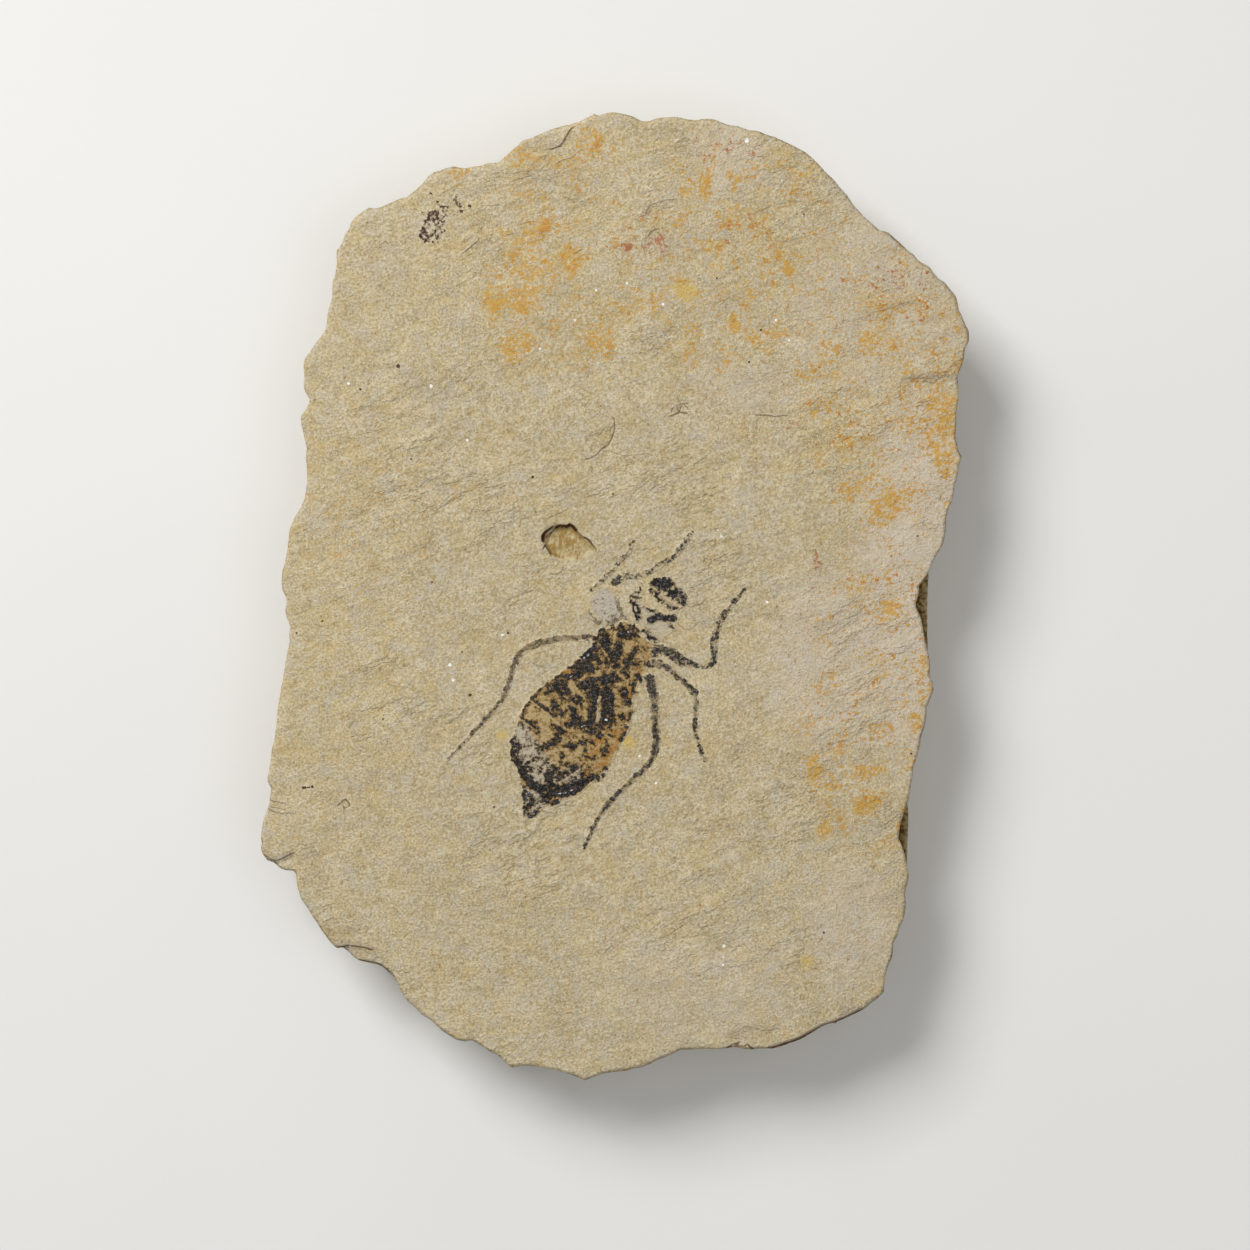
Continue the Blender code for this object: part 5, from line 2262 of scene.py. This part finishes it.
    def build(self) -> bpy.types.Object:
        """Makes the slab: the face's grid, the rings of the side and the back, and the fan that closes it.

        Returns:
            The new object.
        """
        x, y = self.face_grid()
        lines = self.cells + 1
        face_corners = np.stack([x, y, self.face.height(x, y)], axis=2).reshape(-1, 3)
        number = np.arange(lines * lines).reshape(lines, lines)
        rim = np.concatenate([number[0, :-1], number[:-1, -1], number[-1, :0:-1], number[:0:-1, 0]])
        rim_corners = face_corners[rim]
        side = self.side_rings(direction(rim_corners[:, :2] - self.face.pole), rim_corners)
        back = self.back_rings(side[-1])
        rings = np.concatenate([side, back])
        around, first = len(rim), len(face_corners)
        ring = first + np.arange(len(rings) * around).reshape(len(rings), around)
        ring = np.concatenate([rim[None, :], ring])
        after = np.roll(ring, -1, axis=1)
        corners = np.concatenate([face_corners, rings.reshape(-1, 3), [back[-1].mean(axis=0)]])
        faces = [
            *faces_from(number[:-1, :-1], number[:-1, 1:], number[1:, 1:], number[1:, :-1]),
            *faces_from(ring[:-1], ring[1:], after[1:], after[:-1]),
            *faces_from(ring[-1], np.full(around, len(corners) - 1), after[-1]),
        ]
        wall_rings = np.concatenate([np.ones(len(side)), np.full(len(back), self.back_wall)])
        walls = np.concatenate([np.zeros(first), np.repeat(wall_rings, around), [self.back_wall]])
        smooth = np.zeros(len(faces), bool)
        smooth[: (lines - 1) ** 2] = True
        smooth[-around * (len(back) + 1):] = True
        slab = make_object("slab_marl", corners, faces, self.attributes(corners, first, walls), smooth)
        slab.data.materials.append(MarlFinish().build("marl"))
        return slab


@dataclass
class FilmSheet:
    """A thin film that lies in the face, as a closed sheet ruled between its two sides.

    Its top follows the face. It stands out inside its cover and sinks under the face outside it. Its marks
    are texts by kind: carbon, ridges, mottle, clean, pale, orange and glints.
    """

    name: str
    sides: Sequence[Array]
    rows: int
    columns: int
    finish: FilmFinish
    cover: Array
    marks: dict[str, str]

    # Height: sunk under the face, at the film's edge, the crust on it, the crown and its grooves
    sunk: float = 0.09 * MM
    edge_height: float = 0.035 * MM
    crust_height: float = 0.035 * MM
    crown: float = 0.0
    crown_reach: float = 1.2 * MM
    crown_power: int = 3
    crown_ends: Pair = (0.02, 0.98)
    groove: float = 0.0
    groove_width: float = 0.22
    segments: int = 0
    thickness: float = 0.25 * MM

    # Edges: past the cover, of a ridge and of the crust, then the gap that a ridge leaves in the crust
    margin: float = 0.11 * MM
    cover_edge: Pair = (-0.09 * MM, 0.03 * MM)
    ridge_edge: Pair = (-0.05 * MM, 0.06 * MM)
    crust_edge: Pair = (-0.04 * MM, 0.08 * MM)
    ridge_gap: float = 0.3 * MM
    ridge_depth: float = 0.12 * MM
    farthest: float = 2.0

    def grid(self) -> tuple[Array, Array, Array, Array]:
        """Places of the sheet's top, and how far along and across it each lies.

        Returns:
            The places' x and y, and the shares along and across.
        """
        ways = np.linspace(0, 1, self.rows)
        left, right = (along(side, ways) for side in self.sides)
        share = np.linspace(0, 1, self.columns)
        flat = left[:, None, :] * (1 - share)[None, :, None] + right[:, None, :] * share[None, :, None]
        up, across = np.meshgrid(ways, share * 2 - 1, indexing="ij")
        return flat[:, :, 0], flat[:, :, 1], up, across

    def build(self, face: PlateFace) -> bpy.types.Object:
        """Makes the sheet on a face, with the numbers that its finish reads.

        Args:
            face: the face that it lies in.

        Returns:
            The new object.
        """
        x, y, up, across = self.grid()
        carbon = marks_depth(self.marks["carbon"], x, y)
        covered = np.maximum(polygon_depth(x, y, self.cover), carbon)
        ridge = np.zeros(x.shape)
        if "ridges" in self.marks:
            ridge = smooth_step(marks_depth(self.marks["ridges"], x, y), *self.ridge_edge)
            carbon = np.minimum(carbon, self.ridge_depth) - self.ridge_gap * ridge
        low, high = self.cover_edge
        present = smooth_step(covered, -self.margin + low, -self.margin + high)
        lift = -self.sunk + (self.sunk + self.edge_height) * present
        arch = np.sin(np.pi * np.clip(up, *self.crown_ends)) ** 0.5
        bulge = (1 - np.abs(across) ** self.crown_power) * arch
        grooves = 1.0
        if self.segments:
            wave = np.sin(np.pi * up * self.segments) / self.groove_width
            grooves = 1 - self.groove * np.exp(-(wave**2))
        inward = smooth_step(covered, 0.0, self.crown_reach)
        lift = lift + self.crown * bulge * grooves * inward * present
        lift = lift + self.crust_height * smooth_step(carbon, *self.crust_edge)
        lift = lift + self.crust_height * ridge * present
        soft = {kind: self.soft(kind, x, y, blur * MM) for kind, blur in MARK_BLURS.items()}
        depths = [np.clip(depth / MM, -self.farthest, self.farthest) for depth in (carbon, covered)]
        fields = {
            "film": [*depths, soft["mottle"] - soft["clean"]],
            "tint": [soft["pale"], soft["orange"], soft["glints"]],
        }
        return self.close(np.stack([x, y, face.height(x, y) + lift], axis=2), fields)

    def soft(self, kind: str, x: Array, y: Array, blur: float) -> Array:
        """1 inside the marks of a kind and 0 outside them, with a soft edge.

        Args:
            kind: the marks' kind.
            x, y: places, in metres.
            blur: the edge's width, in metres.

        Returns:
            The strengths.
        """
        if kind not in self.marks:
            return np.zeros(x.shape)
        return smooth_step(marks_depth(self.marks[kind], x, y), -blur, blur)

    def close(self, top: Array, fields: dict[str, list[Array]]) -> bpy.types.Object:
        """Closes the sheet below its top, with four walls and a flat bottom, and gives it its finish.

        Args:
            top: places of the sheet's top.
            fields: the parts of each attribute.

        Returns:
            The new object.
        """
        rows, columns = top.shape[:2]
        low = np.concatenate([top[:, 0], top[:, -1]])
        low[:, 2] = top[:, :, 2].min() - self.thickness
        number = np.arange(rows * columns).reshape(rows, columns)
        left, right = rows * columns + np.arange(2 * rows).reshape(2, rows)
        faces = [
            *faces_from(number[:-1, :-1], number[1:, :-1], number[1:, 1:], number[:-1, 1:]),
            *faces_from(number[:-1, 0], left[:-1], left[1:], number[1:, 0]),
            *faces_from(number[:-1, -1], number[1:, -1], right[1:], right[:-1]),
            *faces_from(left[:-1], right[:-1], right[1:], left[1:]),
            [*number[0].tolist(), int(right[0]), int(left[0])],
            [*number[-1, ::-1].tolist(), int(left[-1]), int(right[-1])],
        ]
        area = np.cross(top[1, 0, :2] - top[0, 0, :2], top[0, -1, :2] - top[0, 0, :2])
        if area < 0:
            faces = [face[::-1] for face in faces]
        edge = np.full((len(low), 3), -self.farthest)
        attributes = {
            title: np.concatenate([np.stack(parts, axis=2).reshape(-1, 3), edge])
            for title, parts in fields.items()
        }
        sheet = make_object(self.name, np.concatenate([top.reshape(-1, 3), low]), faces, attributes)
        sheet.data.materials.append(self.finish.build(self.name))
        return sheet


def box_lines(middle_px: Pair, half_length: float, half_width: float, degrees: float = 0) -> list[Array]:
    """The two long sides of a rectangle that is given in pixels and turned.

    Args:
        middle_px: the rectangle's middle.
        half_length, half_width: half its sizes.
        degrees: its turn, clockwise in the picture.

    Returns:
        The sides.
    """
    turn = radians(-degrees)
    forward = np.array([np.cos(turn), np.sin(turn)])
    aside = np.array([-forward[1], forward[0]])
    ends = np.array([middle_px - forward * half_length, middle_px + forward * half_length])
    return [place(ends - aside * half_width), place(ends + aside * half_width)]


@dataclass
class Nymph:
    """The nymph: a body, a head, two eyes and six legs, each a film sheet."""

    face: PlateFace
    body_margin: float = 0.45 * MM
    leg_margin: float = 0.24 * MM
    leg_step: float = 0.075 * MM
    leg_columns: int = 15
    leg_spread: float = 1.22
    body_rulings: int = 60

    def body(self) -> FilmSheet:
        """Abdomen and thorax: ochre film with black crust, crowned and grooved into segments.

        Returns:
            The sheet.
        """
        lines = [place(read_points(text)) for text in (BODY_LEFT, BODY_RIGHT)]
        ways = np.linspace(0, 1, self.body_rulings)
        near, far = (along(extended(line, self.body_margin), ways) for line in lines)
        apart = near - far
        aside = apart / np.linalg.norm(apart, axis=1)[:, None] * self.body_margin
        return FilmSheet(
            name="nymph_body_film", sides=(near + aside, far - aside), rows=250, columns=135,
            finish=FilmFinish(), cover=np.concatenate([lines[0], lines[1][::-1]]),
            marks={
                "carbon": BODY_CARBON, "ridges": BODY_RIDGES, "pale": BODY_PALE, "orange": BODY_ORANGE,
                "mottle": BODY_MOTTLE, "clean": BODY_CLEAN, "glints": BODY_GLINTS,
            },
            crown=0.19 * MM, groove=0.3, segments=13, edge_height=0.05 * MM,
        )

    def head(self) -> FilmSheet:
        """The face between the eyes: black strokes on a thin grey film.

        Returns:
            The sheet.
        """
        finish = FilmFinish(
            light=srgb(188, 178, 156), cover=srgb(176, 165, 143), brown=srgb(140, 126, 104),
            cover_share=0.6, soft_edge=0.3, slope=2.0, ragged=1.6, blotch=0.7, dusk=0.1,
        )
        return FilmSheet(
            name="nymph_head_film", sides=box_lines((653, 614), 27, 31), rows=95, columns=105,
            finish=finish, cover=place(read_points(HEAD_COVER)),
            marks={
                "carbon": HEAD_CARBON, "ridges": "2.4 635,607 636,611", "pale": HEAD_PALE,
                "mottle": "10 655,622 672,620",
            },
        )

    def left_eye(self) -> FilmSheet:
        """A pale disc with a thin dark rim.

        Returns:
            The sheet.
        """
        finish = FilmFinish(
            light=srgb(188, 178, 162), cover=srgb(178, 168, 150), brown=srgb(140, 127, 104),
            umber=srgb(96, 82, 62), black=srgb(66, 57, 47), coal=srgb(50, 44, 40),
            pale=srgb(188, 179, 165), pale_middle=srgb(180, 171, 155),
            cover_share=0.8, soft_edge=0.45, strength=0.6, ragged=2.2, blotch=1.0, dusk=0.2,
        )
        return FilmSheet(
            name="left_eye_film", sides=box_lines((607, 606), 24, 24), rows=75, columns=75,
            finish=finish, cover=place(read_points(LEFT_EYE_COVER)), crown=0.05 * MM,
            marks={"carbon": LEFT_EYE_CARBON, "pale": LEFT_EYE_PALE, "mottle": LEFT_EYE_MOTTLE},
        )

    def right_eye(self) -> FilmSheet:
        """A dark oval, black at its top and right and mottled inside.

        Returns:
            The sheet.
        """
        finish = FilmFinish(
            light=srgb(194, 178, 146), cover=srgb(180, 162, 128), brown=srgb(130, 112, 84),
            cover_share=0.7, soft_edge=0.12, slope=1.5, dusk=0.08,
        )
        return FilmSheet(
            name="right_eye_film", sides=box_lines((667.5, 593), 25, 16, -29), rows=90, columns=60,
            finish=finish, cover=place(read_points(RIGHT_EYE_COVER)), crown=0.06 * MM,
            marks={"carbon": RIGHT_EYE_CARBON, "mottle": RIGHT_EYE_MOTTLE},
        )

    def leg(self, name: str) -> FilmSheet:
        """A leg: grainy grey-brown film along its centre line, with black patches.

        Args:
            name: which leg.

        Returns:
            The leg's sheet.
        """
        (cover_share, strength, bias), centre_text, carbon = LEGS[name]
        centre = read_points(centre_text)
        middle = rounded(np.column_stack([place(centre[:, :2]), centre[:, 2] * self.leg_spread * PIXEL / 2]))
        forward = np.gradient(middle[:, :2], axis=0)
        forward /= np.linalg.norm(forward, axis=1)[:, None]
        aside = np.column_stack([-forward[:, 1], forward[:, 0]])
        left, right = middle[:, :2] + aside * middle[:, 2:], middle[:, :2] - aside * middle[:, 2:]
        longer = extended(middle, self.leg_margin)
        wide = (longer[:, 2:] + self.leg_margin) * np.concatenate([aside[:1], aside, aside[-1:]])
        length = np.linalg.norm(np.diff(longer[:, :2], axis=0), axis=1).sum()
        finish = FilmFinish(
            light=srgb(144, 128, 98), cover=srgb(126, 109, 80), brown=srgb(104, 86, 61),
            umber=srgb(78, 62, 44), black=srgb(50, 41, 34), coal=srgb(26, 23, 23),
            cover_share=cover_share, strength=strength, bias=bias, soft_edge=0.12, slope=1.1,
            ragged=2.8, blotch=2.0, dusk=0.0,
        )
        return FilmSheet(
            name=f"{name}_film", sides=(longer[:, :2] + wide, longer[:, :2] - wide),
            rows=int(length / self.leg_step), columns=self.leg_columns, finish=finish,
            cover=np.concatenate([left, right[::-1]]), marks={"carbon": carbon},
            crown=0.02 * MM, margin=0.05 * MM,
        )

    def build(self) -> dict[str, bpy.types.Object]:
        """Makes each film, with the name of the solid that it stands for.

        Returns:
            The objects by the solid's name.
        """
        sheets = {
            "nymph_body": self.body(), "nymph_head": self.head(),
            "left_eye": self.left_eye(), "right_eye": self.right_eye(),
        }
        for name in LEGS:
            sheets[name] = self.leg(name)
        return {node: sheet.build(self.face) for node, sheet in sheets.items()}


class Slot(Enum):
    """Material slots of the record."""

    MARL = "marl"
    BODY = "body_film"
    DARK = "dark_film"
    PALE = "pale_film"


@dataclass(frozen=True)
class Lamp:
    """A square light that shines on the plate: its power in watts, its width and distance in metres."""

    name: str
    power: float
    width: float
    towards: Triple
    distance: float

    def build(self) -> None:
        """Adds the light."""
        lamp = bpy.data.lights.new(self.name, "AREA")
        lamp.energy = self.power
        lamp.size = self.width
        thing = bpy.data.objects.new(self.name, lamp)
        bpy.context.scene.collection.objects.link(thing)
        away = np.array(self.towards, float)
        away /= np.linalg.norm(away)
        thing.location = (away * self.distance).tolist()
        thing.rotation_mode = "QUATERNION"
        thing.rotation_quaternion = Vector(away.tolist()).to_track_quat("Z", "Y")


@dataclass(frozen=True)
class Studio:
    """A pale floor, a large soft light from the upper left, a fill from above and an even surround."""

    focal_length: float = 85.0
    sensor: float = 36.0
    nearest: float = 0.01
    lamps: tuple[Lamp, ...] = (
        Lamp("key_light", 5.2, 0.35, (-0.55, 0.62, 0.75), 0.75),
        Lamp("fill_light", 2.4, 0.9, (0.35, -0.15, 1.0), 1.0),
    )
    surround: float = 0.25
    floor_size: float = 1.6
    floor_pattern: Pattern = Pattern(0.02, 2, 0.5)
    floor_colours: tuple[Colour, Colour] = (srgb(226, 225, 222), srgb(232, 231, 228))
    floor_roughness: float = 0.8
    floor_relief: float = 0.02

    def build_floor(self) -> None:
        """A plain pale floor with a gently mottled finish."""
        half = self.floor_size / 2
        corners = np.array([(-half, -half, 0), (half, -half, 0), (half, half, 0), (-half, half, 0)])
        floor = make_object("floor", corners, [[0, 1, 2, 3]], {})
        graph = Graph("floor_paint")
        tone = graph.noise(graph.millimetres(), self.floor_pattern)
        graph.colour = graph.mix(tone, *self.floor_colours)
        graph.height = tone * self.floor_relief
        floor.data.materials.append(graph.finish(self.floor_roughness))

    def build(self) -> None:
        """Sets up the floor, lights, surround and camera."""
        self.build_floor()
        for lamp in self.lamps:
            lamp.build()
        world = bpy.data.worlds.new("studio")
        world.use_nodes = True
        background = world.node_tree.nodes["Background"].inputs
        background["Color"].default_value = (1, 1, 1, 1)
        background["Strength"].default_value = self.surround
        scene = bpy.context.scene
        scene.world = world
        scene.view_settings.view_transform = "Standard"
        scene.view_settings.look = "None"
        lens = bpy.data.cameras.new("camera")
        lens.lens = self.focal_length
        lens.sensor_width = self.sensor
        lens.clip_start = self.nearest
        camera = bpy.data.objects.new("camera", lens)
        scene.collection.objects.link(camera)
        across, up = place((PICTURE_PX / 2, PICTURE_PX / 2))
        distance = self.focal_length / self.sensor * PICTURE_PX * PIXEL
        camera.location = (across, up, PLATE_THICKNESS + distance)
        scene.camera = camera


def build_scraps(face: PlateFace) -> bpy.types.Object:
    """The ring-shaped scrap of carbon at the upper left, with its loose specks.

    Args:
        face: the face that it lies in.

    Returns:
        The new object.
    """
    finish = FilmFinish(
        light=srgb(204, 195, 174), cover=srgb(196, 185, 162), brown=srgb(160, 142, 114),
        umber=srgb(118, 92, 72), black=srgb(86, 62, 50), coal=srgb(52, 35, 28), sheen_highlight=srgb(128, 108, 96),
        cover_share=0.7, soft_edge=0.3, ragged=2.6, blotch=0.5, slope=1.6,
    )
    sheet = FilmSheet(
        name="carbon_scrap_film", sides=box_lines((447, 216), 31, 29), rows=130, columns=125,
        finish=finish, cover=place(read_points(SCRAP_COVER)), marks={"carbon": SCRAP_CARBON},
        edge_height=0.012 * MM, crust_height=0.02 * MM,
    )
    return sheet.build(face)


def main() -> None:
    """Builds the plate, the nymph and the studio, and says what each piece is."""
    logging.basicConfig(level=logging.INFO, format="%(message)s")
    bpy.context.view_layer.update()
    face = PlateFace()
    slab = Slab(face).build()
    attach(slab, "root")
    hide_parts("slab")
    log.info("slab: %d faces", len(slab.data.polygons))
    for node, film in Nymph(face).build().items():
        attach(film, "root")
        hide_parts(node)
        log.info("%s: %d faces", film.name, len(film.data.polygons))
    scraps = build_scraps(face)
    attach(scraps, "root")
    Studio().build()


if __name__ == "__main__":
    main()
